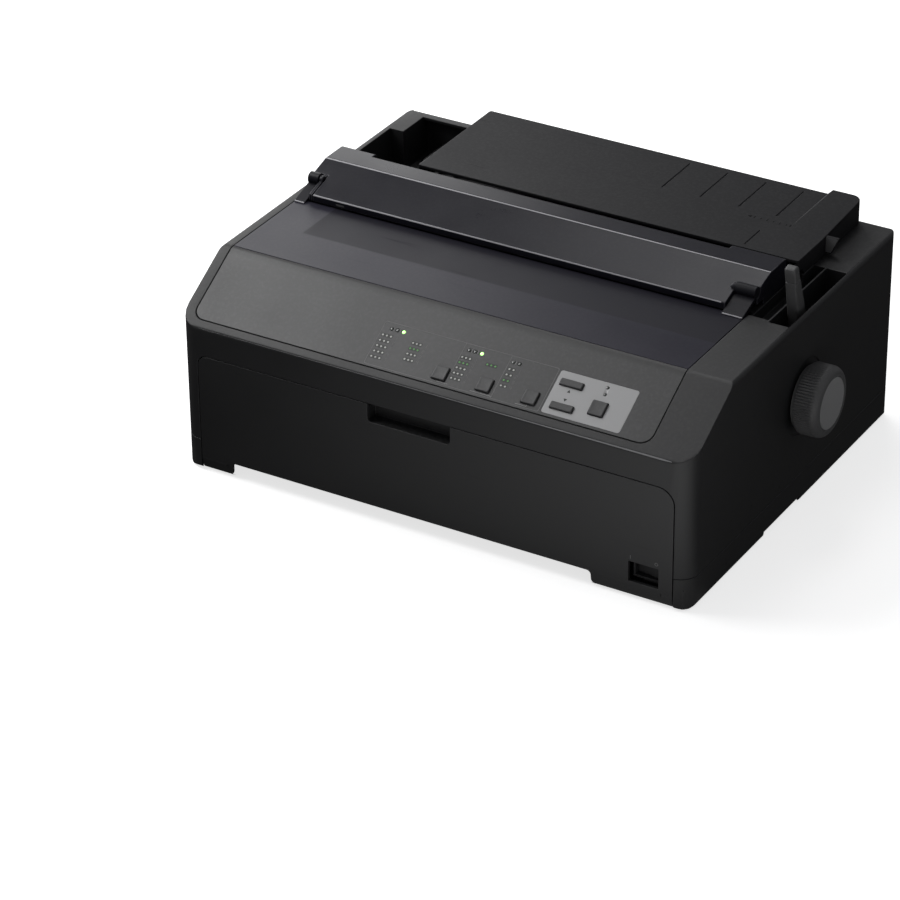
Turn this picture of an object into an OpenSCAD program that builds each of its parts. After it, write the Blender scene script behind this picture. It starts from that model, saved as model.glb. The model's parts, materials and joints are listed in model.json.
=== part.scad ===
// Dot matrix printer with a hinged smoked lid, a lift-off paper cover, a rear
// sheet guide, a fold-down front cover and a push tractor behind it.
// X runs to the right, Y to the back and Z up. The origin lies on the ground
// under the middle of the whole outline, feed knob included.

/* [Case] */
// Width of the case without the feed knob
case_w = 407; // [403:0.5:412]
// Depth of the case from front cover to rear wall
case_d = 318; // [314:0.5:324]
// Height of the flat top of the case
top_z = 150.6; // [149:0.2:154]
// Height at which the sloping panel leaves the front face
slope_z = 115.5; // [112:0.5:119]
// Angle of the sloping panel
slope_angle = 30.6; // [28:0.2:33]
// Wall thickness of the case shells
wall = 2.5; // [2:0.1:3]
// Radius of the upright front corners
front_r = 15; // [12:0.5:16]
// Radius of the upright rear corners
rear_r = 11; // [8:0.5:13]
// Height of the seam between the two case shells
seam_z = 25; // [23:0.5:28]
// Gap left at every visible seam
seam = 0.5; // [0.3:0.1:0.7]
// Ground clearance of the case skirt
skirt_z = 1.2; // [0.8:0.1:2]
// Width of the case top left of the lid
left_strip = 8.5; // [7.5:0.5:10]
// Width of the case top right of the lid
right_strip = 36; // [35:0.5:38]

/* [Front cover] */
// Height of the paper gap under the front cover
door_z0 = 12.3; // [11.8:0.1:13]
// Height of the top seam of the front cover
door_z1 = 93.5; // [90:0.5:97]
// Distance of the cover's side seams from the case sides
door_inset = 16; // [15.5:0.5:18]
// Thickness of the front cover
door_t = 3; // [2.6:0.1:3.2]
// Width of the finger notch
notch_w = 66; // [50:1:80]
// Depth of the finger notch below the seam
notch_h = 14; // [11:0.5:18]

/* [Control panel] */
// Thickness of the panel insert
bezel_t = 3; // [2.5:0.1:3.5]
// Travel of a push button
button_travel = 1; // [0.6:0.1:1.2]
// Height of the push buttons above the panel
button_proud = 1.5; // [0.8:0.1:2]
// Side of a square button
button_s = 10.4; // [9:0.2:11]
// Length of a wide button
wide_button_w = 17.2; // [15:0.2:18]
// Depth of a wide button
wide_button_d = 5.2; // [4.4:0.2:6]

/* [Paper cover and lid] */
// Height of the ridge of the paper cover
ridge_z = 167.4; // [165:0.2:170]
// Shell thickness of the paper cover
ridge_t = 2.2; // [1.8:0.1:2.6]
// Thickness of the smoked lid
lid_t = 2.5; // [2:0.1:3]
// Radius of the lid's hinge barrels
barrel_r = 4.4; // [4:0.1:4.8]
// Height of the flat top of the rear sheet guide
guide_z = 165; // [163:0.2:167]

/* [Feed] */
// Radius of the platen roller
platen_r = 19; // [17:0.5:19.5]
// Gap between the platen roller and each side frame
platen_gap = 16.9; // [12:0.1:20]
// Radius of the platen shaft
shaft_r = 6; // [5:0.1:6.5]
// Radius of the feed knob
knob_r = 26; // [23:0.5:28]
// Overhang of the feed knob from the case side
knob_out = 22; // [18:0.5:26]
// Tooth size of the feed gears
gear_m = 1.5; // [1.4:0.02:1.54]
// Spacing of the paper pins
pin_pitch = 12.7; // [12:0.1:13]
// Distance between the two rows of paper pins
form_w = 241.3; // [200:0.5:243]

/* [Print unit] */
// Radius of the carriage guide shaft
rail_r = 6; // [5:0.1:6.5]
// Radius of the two timing belt pulleys
pulley_r = 8; // [7:0.1:9]

/* [Hidden] */

$fn = 64;
eps = 0.01;
run = 0.05;      // radial clearance of a running fit
seat = 0.2;      // gap where one piece rests by another

front_y = -case_d / 2;
rear_y = case_d / 2;
left_x = -case_w / 2;
right_x = case_w / 2;
lid_x0 = left_x + left_strip;
lid_x1 = right_x - right_strip;
crest_y = front_y + (top_z - slope_z) / tan(slope_angle);
slope_len = (top_z - slope_z) / sin(slope_angle);

// ---------- placing and shaping helpers ----------

// The case frame is centred on the case; the printer's origin is centred on
// the whole outline, so everything moves left by half the knob's overhang.
module place() translate([-knob_out / 2, 0, 0]) children();

module box(x0, x1, y0, y1, z0, z1) translate([x0, y0, z0]) cube([x1 - x0, y1 - y0, z1 - z0]);

// Extrudes a (Y, Z) outline from x0 to x1.
module along_x(x0, x1) translate([x0, 0, 0]) rotate([90, 0, 90]) linear_extrude(x1 - x0) children();

// Extrudes an (X, Z) outline from y0 to y1.
module along_y(y0, y1) translate([0, y1, 0]) rotate([90, 0, 0]) linear_extrude(y1 - y0) children();

// Cylinder along X from x0 to x1 about (y, z).
module rod(x0, x1, y, z, r) translate([x0, y, z]) rotate([0, 90, 0]) cylinder(h = x1 - x0, r = r);

function dir(a) = [cos(a), sin(a)];

// Points that round corner b between a and c with radius r.
function corner(a, b, c, r, n = 5) =
  r <= 0 ? [b] :
  let (u = (a - b) / norm(a - b), v = (c - b) / norm(c - b), half = acos(u * v) / 2,
       o = b + (u + v) / norm(u + v) * r / sin(half),
       p = b + u * r / tan(half) - o, q = b + v * r / tan(half) - o,
       a0 = atan2(p[1], p[0]), turn = (atan2(q[1], q[0]) - a0 + 540) % 360 - 180)
  [for (i = [0:n]) o + r * dir(a0 + turn * i / n)];

// Outline through points, each corner rounded by its own radius.
function rounded(pts, radii) =
  let (n = len(pts))
  [for (i = [0:n - 1]) each corner(pts[(i + n - 1) % n], pts[i], pts[(i + 1) % n], radii[i])];

function rect_pts(x0, x1, y0, y1) = [[x0, y0], [x1, y0], [x1, y1], [x0, y1]];

// Rectangle with a radius for each corner: low left, low right, top right, top left.
module rect(x0, x1, y0, y1, radii = [0, 0, 0, 0]) polygon(rounded(rect_pts(x0, x1, y0, y1), radii));

// Plan outline of the case, drawn in by inset.
module plan(inset = 0) rect(left_x + inset, right_x - inset, front_y + inset, rear_y - inset,
  [front_r - inset, front_r - inset, rear_r - inset, rear_r - inset]);

// Side outline of the case (Y, Z), drawn in by inset, from height z0.
crest_r = 9;
brow_r = 3.5;
rear_top_r = 4;
side_top_r = 3;
base_r = 4;
function side_pts(inset, z0) = [
  [front_y + inset, z0],
  [front_y + inset, slope_z + inset * tan(slope_angle) - inset / cos(slope_angle)],
  [front_y + (top_z - inset - slope_z + inset / cos(slope_angle)) / tan(slope_angle), top_z - inset],
  [rear_y - inset, top_z - inset],
  [rear_y - inset, z0]];
module side(inset, z0) polygon(rounded(side_pts(inset, z0),
  [0, max(brow_r - inset, 0.6), crest_r - inset, max(rear_top_r - inset, 0.6), 0]));

module case_body(inset, z0) intersection() {
  along_x(left_x, right_x) side(inset, z0);
  along_y(front_y, rear_y) rect(left_x + inset, right_x - inset, z0, top_z - inset,
    [0, 0, max(side_top_r - inset, 0.6), max(side_top_r - inset, 0.6)]);
  translate([0, 0, z0]) linear_extrude(top_z) plan(inset);
}

// Solid of the lower shell with its bottom edges rounded.
module tray_body() intersection() {
  translate([0, 0, skirt_z]) linear_extrude(seam_z - skirt_z) plan();
  along_x(left_x, right_x) rect(front_y, rear_y, skirt_z, seam_z, [base_r, base_r, 0, 0]);
  along_y(front_y, rear_y) rect(left_x, right_x, skirt_z, seam_z, [base_r, base_r, 0, 0]);
}

// Places children on the sloping panel: X across, Y up the slope, Z out of it.
module on_slope() translate([0, front_y, slope_z]) rotate([slope_angle, 0, 0]) children();

// ---------- case shells ----------

floor_z = 4;
floor_t = 2.5;
floor_top = floor_z + floor_t;
entry_x0 = left_x + 41.5;
entry_x1 = right_x - 75.5;
door_x0 = left_x + door_inset;
door_x1 = right_x - door_inset + 3;
recess_y0 = front_y + 113;
recess_y1 = front_y + 169;
recess_z = 5.9;
hinge_r = door_t + 0.2;
door_axis_y = front_y + hinge_r;
door_axis_z = 10;
door_foot_z = skirt_z + 0.3;
door_sweep = front_y + hinge_r + norm([hinge_r, door_axis_z - door_foot_z]) + 0.8;
door_pin_r = 1.8;
door_pin_l = 2.5;
ear_t = 7;
screw_r = 2;
screw_places = [for (sx = [-1, 1], y = [front_y + 54, rear_y - 30]) [sx, y]];
screw_x = case_w / 2 - wall - 6;
boss_r = 5;
boss_top = 58;
foot_r = 9;
foot_places = [for (sx = [-1, 1], y = [front_y + 34, rear_y - 24]) [sx * (case_w / 2 - 20), y]];

module screw_holes(z0, z1, r) for (p = screw_places)
  translate([p[0] * screw_x, p[1], z0]) cylinder(h = z1 - z0, r = r);

module lower_case() place() color([0.13, 0.13, 0.14]) difference() {
  union() {
    difference() {
      tray_body();
      translate([0, 0, floor_top]) linear_extrude(seam_z) plan(wall);
      translate([0, 0, skirt_z - 1]) linear_extrude(floor_z - skirt_z + 1) plan(wall);
    }
    for (p = foot_places)
      translate([p[0], p[1], skirt_z + 0.6]) cylinder(h = floor_top - skirt_z, r = foot_r + 2);
    for (p = screw_places)
      translate([p[0] * screw_x, p[1], floor_z]) cylinder(h = seam_z - floor_z, r = boss_r);
    // ears behind the front corners hold the front cover's pegs
    for (x = [door_x0 - seam - ear_t, door_x1 + seam])
      box(x, x + ear_t, front_y + wall - eps, door_sweep + 1.5, floor_z, door_axis_z + 6);
    // stand-offs under the sheet metal base of the print unit
    for (x = [base_x0 + 12, base_x1 - 12], y = [base_y0 + 12, base_y1 - 12])
      translate([x, y, floor_z]) cylinder(h = base_z - floor_z, r = 5);
  }
  // open front for the front cover, its feet and the paper gap between them
  box(door_x0 - seam, door_x1 + seam, front_y - 1, door_sweep, -1, seam_z + 1);
  // raised middle of the side skirts
  for (x = [left_x, right_x]) box(x - wall - 0.1, x + wall + 0.1, recess_y0, recess_y1, -1, recess_z);
  for (p = foot_places) translate([p[0], p[1], -1]) cylinder(h = foot_depth + 1, r = foot_r + seat);
  screw_holes(-1, seam_z + 1, screw_r + seat);
  screw_holes(-1, floor_z + 4, screw_r * 2 + seat);
  // holes for the front cover's pegs
  rod(door_x0 - door_pin_l - seam - 0.5, door_x1 + door_pin_l + seam + 0.5, door_axis_y, door_axis_z, door_pin_r + run);
  rear_sockets();
}

foot_depth = 4;
module rubber_feet() place() color([0.08, 0.08, 0.08])
  for (p = foot_places) translate([p[0], p[1], 0]) {
    cylinder(h = foot_depth, r = foot_r);
    cylinder(h = 0.8, r = foot_r);
  }

module case_screws() place() color([0.55, 0.56, 0.58])
  for (p = screw_places) translate([p[0] * screw_x, p[1], 0]) {
    translate([0, 0, floor_z + 1.4]) difference() {
      cylinder(h = 2.6, r = screw_r * 2);
      for (a = [0, 90]) rotate([0, 0, a]) translate([-2.2, -0.5, -eps]) cube([4.4, 1, 1.2]);
    }
    translate([0, 0, floor_z + 4]) cylinder(h = seam_z + 20 - floor_z, r = screw_r);
  }

// Interface and mains openings in the rear wall.
inlet_x = right_x - 34;
inlet_w = 28;
inlet_h = 21;
inlet_depth = 20;
inlet_z = 40;
port_z = 34;
parallel_x = left_x + 92;
parallel_w = 66;
parallel_h = 13;
usb_x = parallel_x + 58;
serial_x = usb_x + 44;
module rear_sockets() {
  rear_hole(inlet_x, inlet_z, inlet_w / 2 + seat, inlet_h / 2 + seat);
  rear_hole(parallel_x, port_z, parallel_w / 2 + seat, parallel_h / 2 + seat);
  rear_hole(usb_x, port_z, 7, 6.5);
  rear_hole(serial_x, port_z, 16, 6.5);
}
module rear_hole(x, z, w, h) box(x - w, x + w, rear_y - wall - 1, rear_y + 1, z - h, z + h);

// Control panel opening: low left and right corners rounded, open to the lid.
bezel_s0 = 7.4;
bezel_corner_r = 9;
module panel_cut(grow, depth) on_slope() translate([0, 0, -depth]) linear_extrude(depth + 12)
  rect(lid_x0 - grow, lid_x1 + grow, bezel_s0 - grow, slope_len + 30, [bezel_corner_r, bezel_corner_r, 0, 0]);

ridge_y0 = front_y + 147;
ridge_crest_y = front_y + 184.5;
ridge_y1 = front_y + 209;
slot_y0 = front_y + 202.4;
guide_y0 = front_y + 212.5;
lid_y0 = crest_y + 2.2;
lid_y1 = ridge_y0 - 0.6;
// The lever moves in its way at the case's right; a shallower dip lies left of it.
way_x0 = right_x - 18.5;
way_x1 = right_x - 3.2;
way_y0 = front_y + 147;
way_floor = 126;
dip_x0 = lid_x1 + seam;
dip_x1 = way_x0 - 1.4;
dip_step_x = right_x - 28.5;
dip_y0 = front_y + 149.6;
dip_step_y = front_y + 210;
dip_floor = 137;
well_y1 = front_y + 238;
lever_x0 = right_x - 15.5;
lever_x1 = right_x - 7;
bay_x0 = left_x + 5.5;
bay_x1 = lid_x1 - 2;
post_y = rear_y - 38;
post_x = left_x + 17;
deck_z = 116;
deck_t = 2;
guide_x0 = left_x + 70.5;
guide_x1 = right_x - 28.5;
shelf_z = 146.4;
shelf_t = 2.4;
shelf_w = 12;
shelf_y0 = front_y + 160;
hinge_y = front_y + 164;
hinge_z = top_z + 10;
hinge_pin_r = 1.6;
lid_arm_l = 8.5;
lid_arm_r = 16;
ear_gap = 0.5;
lug_gap = 0.4;
lug_t = 2.6;
guide_axis_y = front_y + 225;
guide_axis_z = 156;
guide_ear_t = 2.5;
guide_ear_x1 = guide_x1 - wall - ear_gap;
knob_recess_r = knob_r + 2.5;
platen_y = front_y + 169;
platen_z = 87;

module ear(x0, x1, y, z, z0, r, w) {
  rod(x0, x1, y, z, r);
  box(x0, x1, y - w / 2, y + w / 2, z0, z);
}

module lever_way() box(way_x0, way_x1, way_y0, well_y1, way_floor + 2, top_z + 1);
module lever_dip() {
  box(dip_x0 - eps, dip_x1, dip_y0, dip_step_y, dip_floor, top_z + 1);
  box(dip_step_x, dip_x1, dip_step_y - 1, well_y1, dip_floor, top_z + 1);
}

// Room for the foot of the sheet guide's right wall when the guide tips back.
guide_foot_room = 1.6;
module guide_sweep() box(bay_x1 - eps, guide_x1 + ear_gap, dip_step_y + guide_foot_room,
  guide_axis_y - 4.2, guide_axis_z - 10.5, top_z + 1);

module upper_case() place() color([0.13, 0.13, 0.14]) difference() {
  union() {
    difference() {
      case_body(0, seam_z + 0.3);
      case_body(wall, seam_z);
      // front cover
      along_y(front_y - 1, front_y + wall + 0.5)
        rect(door_x0 - seam, door_x1 + seam, 0, door_z1 + seam, [0, 0, 12, 8]);
      // control panel and lid
      panel_cut(seam, bezel_t + 3);
      box(lid_x0 - seam, lid_x1 + seam, crest_y - 4, ridge_y1 + 1, top_z - 12, top_z + 20);
      // open bay for the rear paper path
      box(bay_x0, bay_x1, ridge_y1 - 1, post_y, top_z - 12, top_z + 1);
      box(post_x, bay_x1, ridge_y1 - 1, rear_y - 9, top_z - 12, top_z + 1);
      lever_way();
      lever_dip();
      guide_sweep();
    }
    // walls and floors of the lever's way and the dip
    difference() {
      union() {
        box(dip_x1, way_x1 + 1.5, way_y0 - 2, well_y1 + 2, way_floor, top_z - 0.5);
        box(dip_x0 - 2, way_x0, dip_y0 - 2, well_y1 + 2, dip_floor - 2, shelf_z);
        box(dip_x0, way_x0, dip_y0 - 2, well_y1 + 2, shelf_z - 1, top_z - 0.5);
      }
      lever_way();
      lever_dip();
      guide_sweep();
      box(dip_x0 - 3, dip_step_x - 2, dip_step_y + 2, well_y1 + 3, dip_floor - 3, top_z - wall);
      box(lever_x0 - 1.2, lever_x1 + 1.2, release_y - 20, well_y1 - 14, way_floor - 1, way_floor + 3);
    }
    // ledges that carry the paper cover
    box(left_x + wall - eps, lid_x0 + shelf_w, shelf_y0, ridge_y1 + 2, shelf_z - shelf_t, shelf_z);
    box(lid_x1 - shelf_w, dip_x0 - 1, shelf_y0, ridge_y1 + 2, shelf_z - shelf_t, shelf_z);
    // deck under the rear paper path and its ribs
    box(left_x + wall - eps, bay_x1 + 4, guide_y0 + 6, rear_y - wall + eps, deck_z, deck_z + deck_t);
    box(bay_x1, bay_x1 + 2.2, guide_y0 + 6, rear_y - wall + eps, deck_z, top_z - 1);
    box(bay_x0 - 3.5, bay_x0, ridge_y1 + 2, post_y + 1, deck_z, top_z - 1);
    box(left_x + wall, post_x, post_y, rear_y - wall + eps, deck_z, top_z - 0.5);
    for (i = [1:3])
      box(post_x + i * 13, post_x + i * 13 + 2, post_y + 6, rear_y - wall, deck_z, deck_z + 8 + 4 * i);
    // ears that hold the sheet guide
    ear(guide_x0 - ear_gap - guide_ear_t, guide_x0 - ear_gap, guide_axis_y, guide_axis_z, deck_z, 4, 8);
    ear(guide_ear_x1 - guide_ear_t, guide_ear_x1, guide_axis_y, guide_axis_z, deck_z, 4, 8);
    box(bay_x1 + 1, guide_ear_x1, guide_axis_y - 4, guide_axis_y + 4, deck_z, deck_z + 4);
    // screw bosses on the side walls
    for (p = screw_places) {
      translate([p[0] * screw_x, p[1], seam_z + 0.3]) cylinder(h = boss_top - seam_z, r = boss_r);
      box(min(p[0] * screw_x, p[0] * (case_w / 2 - 1)), max(p[0] * screw_x, p[0] * (case_w / 2 - 1)),
        p[1] - 3, p[1] + 3, seam_z + 0.3, boss_top);
    }
  }
  screw_holes(seam_z - 1, boss_top - 6, screw_r);
  // guide pin holes
  rod(guide_x0 - 6, guide_x1 - wall, guide_axis_y, guide_axis_z, hinge_pin_r + run);
  // feed knob hole and its shallow recess
  rod(right_x - wall - 3, right_x + 1, platen_y, platen_z, shaft_r + 5);
  rod(right_x - 0.9, right_x + 1, platen_y, platen_z, knob_recess_r);
  rear_sockets();
}

// ---------- front cover ----------

switch_x0 = right_x - 46.5;
switch_x1 = right_x - 23.5;
switch_z0 = 13.8;
switch_z1 = 29.5;
notch_x0 = -48;
notch_x1 = notch_x0 + notch_w;
notch_z0 = door_z1 - notch_h;
pocket_d = 11;
// Face of the front cover (X, Z): a panel with a foot at each end.
function cover_pts() = rounded([
  [door_x0, door_foot_z], [entry_x0, door_foot_z], [entry_x0, door_z0], [entry_x1, door_z0],
  [entry_x1, door_foot_z], [door_x1, door_foot_z], [door_x1, door_z1], [door_x0, door_z1]],
  [0, 4, 3, 3, 4, 0, 12, 8]);
// Thickness outline of the cover (Y, Z), its lower edge turned inwards.
function cover_edge_pts() = [
  [front_y, door_z1 + 1], [front_y, 13], [front_y + 0.3, 8.5], [front_y + 0.9, 5], [front_y + 1.7, 2.8],
  [front_y + door_t, door_foot_z], [front_y + door_t, door_z1 + 1]];

module front_cover() place() color([0.14, 0.14, 0.15]) difference() {
  union() {
    intersection() {
      along_y(front_y - 1, front_y + door_t) polygon(cover_pts());
      along_x(door_x0, door_x1) polygon(cover_edge_pts());
    }
    // hinge knuckles behind both feet
    rod(door_x0, entry_x0 - 4, door_axis_y, door_axis_z, hinge_r);
    rod(switch_x1 + 2, door_x1, door_axis_y, door_axis_z, hinge_r);
    // hinge pegs that snap into the ears of the lower case
    rod(door_x0 - seam - door_pin_l, door_x0 + 8, door_axis_y, door_axis_z, door_pin_r);
    rod(door_x1 - 6, door_x1 + seam + door_pin_l, door_axis_y, door_axis_z, door_pin_r);
    // stiffening flanges
    for (x = [door_x0 + 1, door_x1 - 3])
      box(x, x + 2, front_y + 1, front_y + 8, door_axis_z + 22, door_z1 - 14);
    box(door_x0 + 12, notch_x0 - 4, front_y + 1, front_y + 8, door_z1 - 3.5, door_z1 - 1.5);
    box(notch_x1 + 4, door_x1 - 16, front_y + 1, front_y + 8, door_z1 - 3.5, door_z1 - 1.5);
    // finger pocket
    box(notch_x0 - 2, notch_x1 + 2, front_y + 1, front_y + pocket_d + 2, notch_z0 - 2, door_z1 - 3);
  }
  along_y(front_y - 1, front_y + door_t - 0.9) rect(notch_x0, notch_x1, notch_z0, door_z1 + 5, [3, 3, 0, 0]);
  box(notch_x0, notch_x1, front_y + 2, front_y + pocket_d, notch_z0, door_z1 + 1);
  box(switch_x0, switch_x1, front_y - 1, front_y + 12, switch_z0, switch_z1);
}

// ---------- control panel ----------

// Buttons as [x, s, width, depth] on the slope.
buttons = [
  [2.7, 17, button_s, button_s],
  [37.2, 17.4, button_s, button_s],
  [72.6, 17.6, button_s, button_s],
  [95.9, 35.7, wide_button_w, wide_button_d],
  [97, 17, wide_button_w, wide_button_d],
  [121.7, 23.2, button_s + 1, button_s + 1]];
lamp_r = 1.25;
lamps = [[-47.8, 40], [-43.1, 40], [-38.3, 40], [14.1, 40], [18.8, 40], [23.8, 40], [48.6, 40], [53.6, 40],
  [121.1, 40.5], [121.6, 35]];
label_x0 = 84;
label_x1 = 144;
label_s0 = 9.8;
label_s1 = 44.4;
label_t = 0.4;
board_n = -(bezel_t + 5);
board_t = 1.6;
button_gap = 0.35;
flange_t = 0.8;
button_seat = seat + flange_t;
board_gap = -board_n - board_t;

module button_holes(grow, n0, n1) for (b = buttons)
  translate([b[0], b[1], n0]) linear_extrude(n1 - n0)
    rect(-b[2] / 2 - grow, b[2] / 2 + grow, -b[3] / 2 - grow, b[3] / 2 + grow, [1, 1, 1, 1]);
module lamp_holes(grow, n0, n1) for (p = lamps)
  translate([p[0], p[1], n0]) cylinder(h = n1 - n0, r = lamp_r + grow);

module panel_bezel() place() color([0.2, 0.2, 0.21]) {
  difference() {
    intersection() {
      difference() {
        along_x(lid_x0, lid_x1) side(0, slope_z - 20);
        along_x(lid_x0 - 1, lid_x1 + 1) side(bezel_t, slope_z - 25);
      }
      panel_cut(0, bezel_t + 9);
      box(lid_x0, lid_x1, front_y, lid_y0 - seam, 0, top_z + 1);
    }
    on_slope() {
      button_holes(button_gap, -bezel_t - 1, 1);
      lamp_holes(0.1, -bezel_t - 1, 1);
      translate([0, 0, -label_t]) linear_extrude(2) label_outline();
    }
  }
  // posts that carry the button board
  on_slope() for (x = [board_x0 + 5, board_x1 - 5], s = [board_s0 + 3, board_s1 - 3])
    translate([x, s, board_n + board_t]) cylinder(h = -bezel_t - board_n - board_t + eps, r = 2);
}

module label_outline() rect(label_x0, label_x1, label_s0, label_s1, [2, 2, 2, 2]);
module panel_label() place() color([0.62, 0.63, 0.64]) on_slope() difference() {
  translate([0, 0, -label_t]) linear_extrude(label_t) label_outline();
  button_holes(button_gap, -2, 1);
  lamp_holes(0.1, -2, 1);
}

board_x0 = -64;
board_x1 = 150;
board_s0 = 9;
board_s1 = 48;
tact_h = board_gap - bezel_t - button_seat - button_travel - 0.15;
module panel_board() place() color([0.1, 0.3, 0.16]) on_slope() {
  translate([board_x0, board_s0, board_n]) cube([board_x1 - board_x0, board_s1 - board_s0, board_t]);
  // one tact switch under each button
  for (b = buttons) translate([b[0] - 2.4, b[1] - 2, board_n + board_t]) cube([4.8, 4, tact_h]);
}

module status_lights() place() color([0.45, 0.85, 0.35]) on_slope()
  lamp_holes(0, board_n + board_t, 0.15);

// A push button is a keycap with a collar that keeps it behind the panel.
module push_button(b) on_slope() {
  translate([0, 0, -bezel_t - button_seat]) linear_extrude(bezel_t + button_seat + button_proud)
    rect(b[0] - b[2] / 2, b[0] + b[2] / 2, b[1] - b[3] / 2, b[1] + b[3] / 2, [0.8, 0.8, 0.8, 0.8]);
  translate([b[0] - b[2] / 2 - 1, b[1] - b[3] / 2 - 0.8, -bezel_t - button_seat])
    cube([b[2] + 2, b[3] + 1.6, flange_t]);
}
module font_button() place() color([0.28, 0.28, 0.29]) push_button(buttons[0]);
module pitch_button() place() color([0.28, 0.28, 0.29]) push_button(buttons[1]);
module tear_off_button() place() color([0.28, 0.28, 0.29]) push_button(buttons[2]);
module load_button() place() color([0.28, 0.28, 0.29]) push_button(buttons[3]);
module feed_button() place() color([0.28, 0.28, 0.29]) push_button(buttons[4]);
module pause_button() place() color([0.28, 0.28, 0.29]) push_button(buttons[5]);

// ---------- lid, paper cover, sheet guide ----------

// Arm outline (Y, Z): a strip that climbs from the lid's rear edge to the hinge barrel.
arm_step = 0.9;
function arm_pts() = [
  [lid_y1 - 5, top_z - lid_t], [lid_y1 - 5, top_z + arm_step], [hinge_y - 3.6, hinge_z - 2.9],
  [hinge_y, hinge_z], [hinge_y - 1, hinge_z - barrel_r + 0.2], [lid_y1 - 3.5, top_z - lid_t]];

module smoked_lid() place() color([0.2, 0.19, 0.22, 0.85]) {
  box(lid_x0, lid_x1, lid_y0, lid_y1, top_z - lid_t, top_z);
  // stiffening ribs under the lid
  for (y = [lid_y0 + 6, lid_y1 - 8])
    box(lid_x0 + 6, lid_x1 - 6, y, y + 1.6, top_z - lid_t - 2.4, top_z - lid_t + eps);
  for (x = [[lid_x0, lid_x0 + lid_arm_l], [lid_x1 - lid_arm_r, lid_x1]]) {
    along_x(x[0], x[1]) polygon(arm_pts());
    rod(x[0], x[1], hinge_y, hinge_z, barrel_r);
  }
  // stub pins that turn in the lugs of the paper cover
  rod(lid_x0 + lid_arm_l - eps, lug_x[0] + lug_t, hinge_y, hinge_z, hinge_pin_r);
  rod(lug_x[1], lid_x1 - lid_arm_r + eps, hinge_y, hinge_z, hinge_pin_r);
}

ridge_skirt_z = top_z + 0.6;
front_lip_z = top_z + 5.7;
slot_x0 = left_x + 37.5;
slot_x1 = right_x - 77.5;
lug_r1 = 3.2;
lug_x = [lid_x0 + lid_arm_l + lug_gap, lid_x1 - lid_arm_r - lug_gap - lug_t];

// Outline of the paper cover (Y, Z): upright front lip, rising front, flat top.
function ridge_pts(t, z0) = [
  [ridge_y0 + t, z0], [ridge_y0 + t, front_lip_z - 0.75 * t],
  [ridge_crest_y, ridge_z - t], [ridge_y1 - t, ridge_z - t], [ridge_y1 - t, z0]];
module ridge_outline(t, z0) polygon(rounded(ridge_pts(t, z0), [0, 1.4, 3, max(3 - t, 0.4), 0]));

// Room for one arm of the lid, closed round its barrel at the rear.
module arm_notch(x0, x1) {
  box(x0, x1, ridge_y0 - 1, hinge_y, 0, ridge_z + 1);
  rod(x0, x1, hinge_y, hinge_z, barrel_r + lug_gap);
  box(x0, x1, hinge_y - eps, hinge_y + barrel_r + lug_gap, hinge_z, ridge_z + 1);
}

module paper_cover() place() color([0.2, 0.19, 0.21]) difference() {
  union() {
    difference() {
      union() {
        difference() {
          along_x(lid_x0, lid_x1) ridge_outline(0, ridge_skirt_z);
          along_x(lid_x0 + ridge_t, lid_x1 - ridge_t) ridge_outline(ridge_t, ridge_skirt_z - 5);
          // paper slot in the rear edge
          box(slot_x0, slot_x1, slot_y0, ridge_y1 + 1, 0, ridge_z + 1);
        }
        // end walls stand on the ledges of the case
        for (x = [lid_x0, lid_x1 - ridge_t])
          box(x, x + ridge_t, shelf_y0 + 14, ridge_y1, shelf_z + seat, ridge_z - 4);
      }
      arm_notch(lid_x0 - 1, lug_x[0] + lug_t + 0.8);
      arm_notch(lug_x[1], lid_x1 + 1);
    }
    // lugs that hold the lid's stub pins
    for (x = lug_x) {
      intersection() {
        along_x(x, x + lug_t) ridge_outline(0, ridge_skirt_z);
        box(x, x + lug_t, ridge_y0, hinge_y + barrel_r + ridge_t, ridge_skirt_z, ridge_z);
      }
      rod(x, x + lug_t, hinge_y, hinge_z, lug_r1);
    }
    // walls round the paper slot
    box(slot_x0 - ridge_t, slot_x1 + ridge_t, slot_y0 - ridge_t, slot_y0, ridge_skirt_z, ridge_z - 0.5);
    for (x = [slot_x0 - ridge_t, slot_x1])
      box(x, x + ridge_t, slot_y0 - 1, ridge_y1, ridge_skirt_z, ridge_z - 3);
    // bearings of the tension rollers
    for (x = [lid_x0, lid_x1 - 5]) rod(x, x + 5, tension_y, tension_z, 5);
  }
  for (x = lug_x) rod(x - 1, x + lug_t + 1, hinge_y, hinge_z, hinge_pin_r + run);
  rod(lid_x0 + 1.5, lid_x1 - 1.5, tension_y, tension_z, tension_r + run);
  for (x = tension_x)
    box(x - tension_len / 2 - 1, x + tension_len / 2 + 1, slot_y0 - ridge_t - 1, slot_y0 + 1,
      tension_z - roller_r - 1, tension_z + roller_r + 0.6);
}

tension_r = 2;
roller_r = 3.6;
tension_y = slot_y0 - 2.8;
tension_z = ridge_z - 10.2;
tension_len = 16;
tension_x = [for (i = [0:5]) slot_x0 + 34 + i * (slot_x1 - slot_x0 - 68) / 5];
module tension_rollers() place() color([0.12, 0.12, 0.12]) {
  rod(lid_x0 + 1.8, lid_x1 - 1.8, tension_y, tension_z, tension_r);
  for (x = tension_x) rod(x - tension_len / 2, x + tension_len / 2, tension_y, tension_z, roller_r);
}

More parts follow.
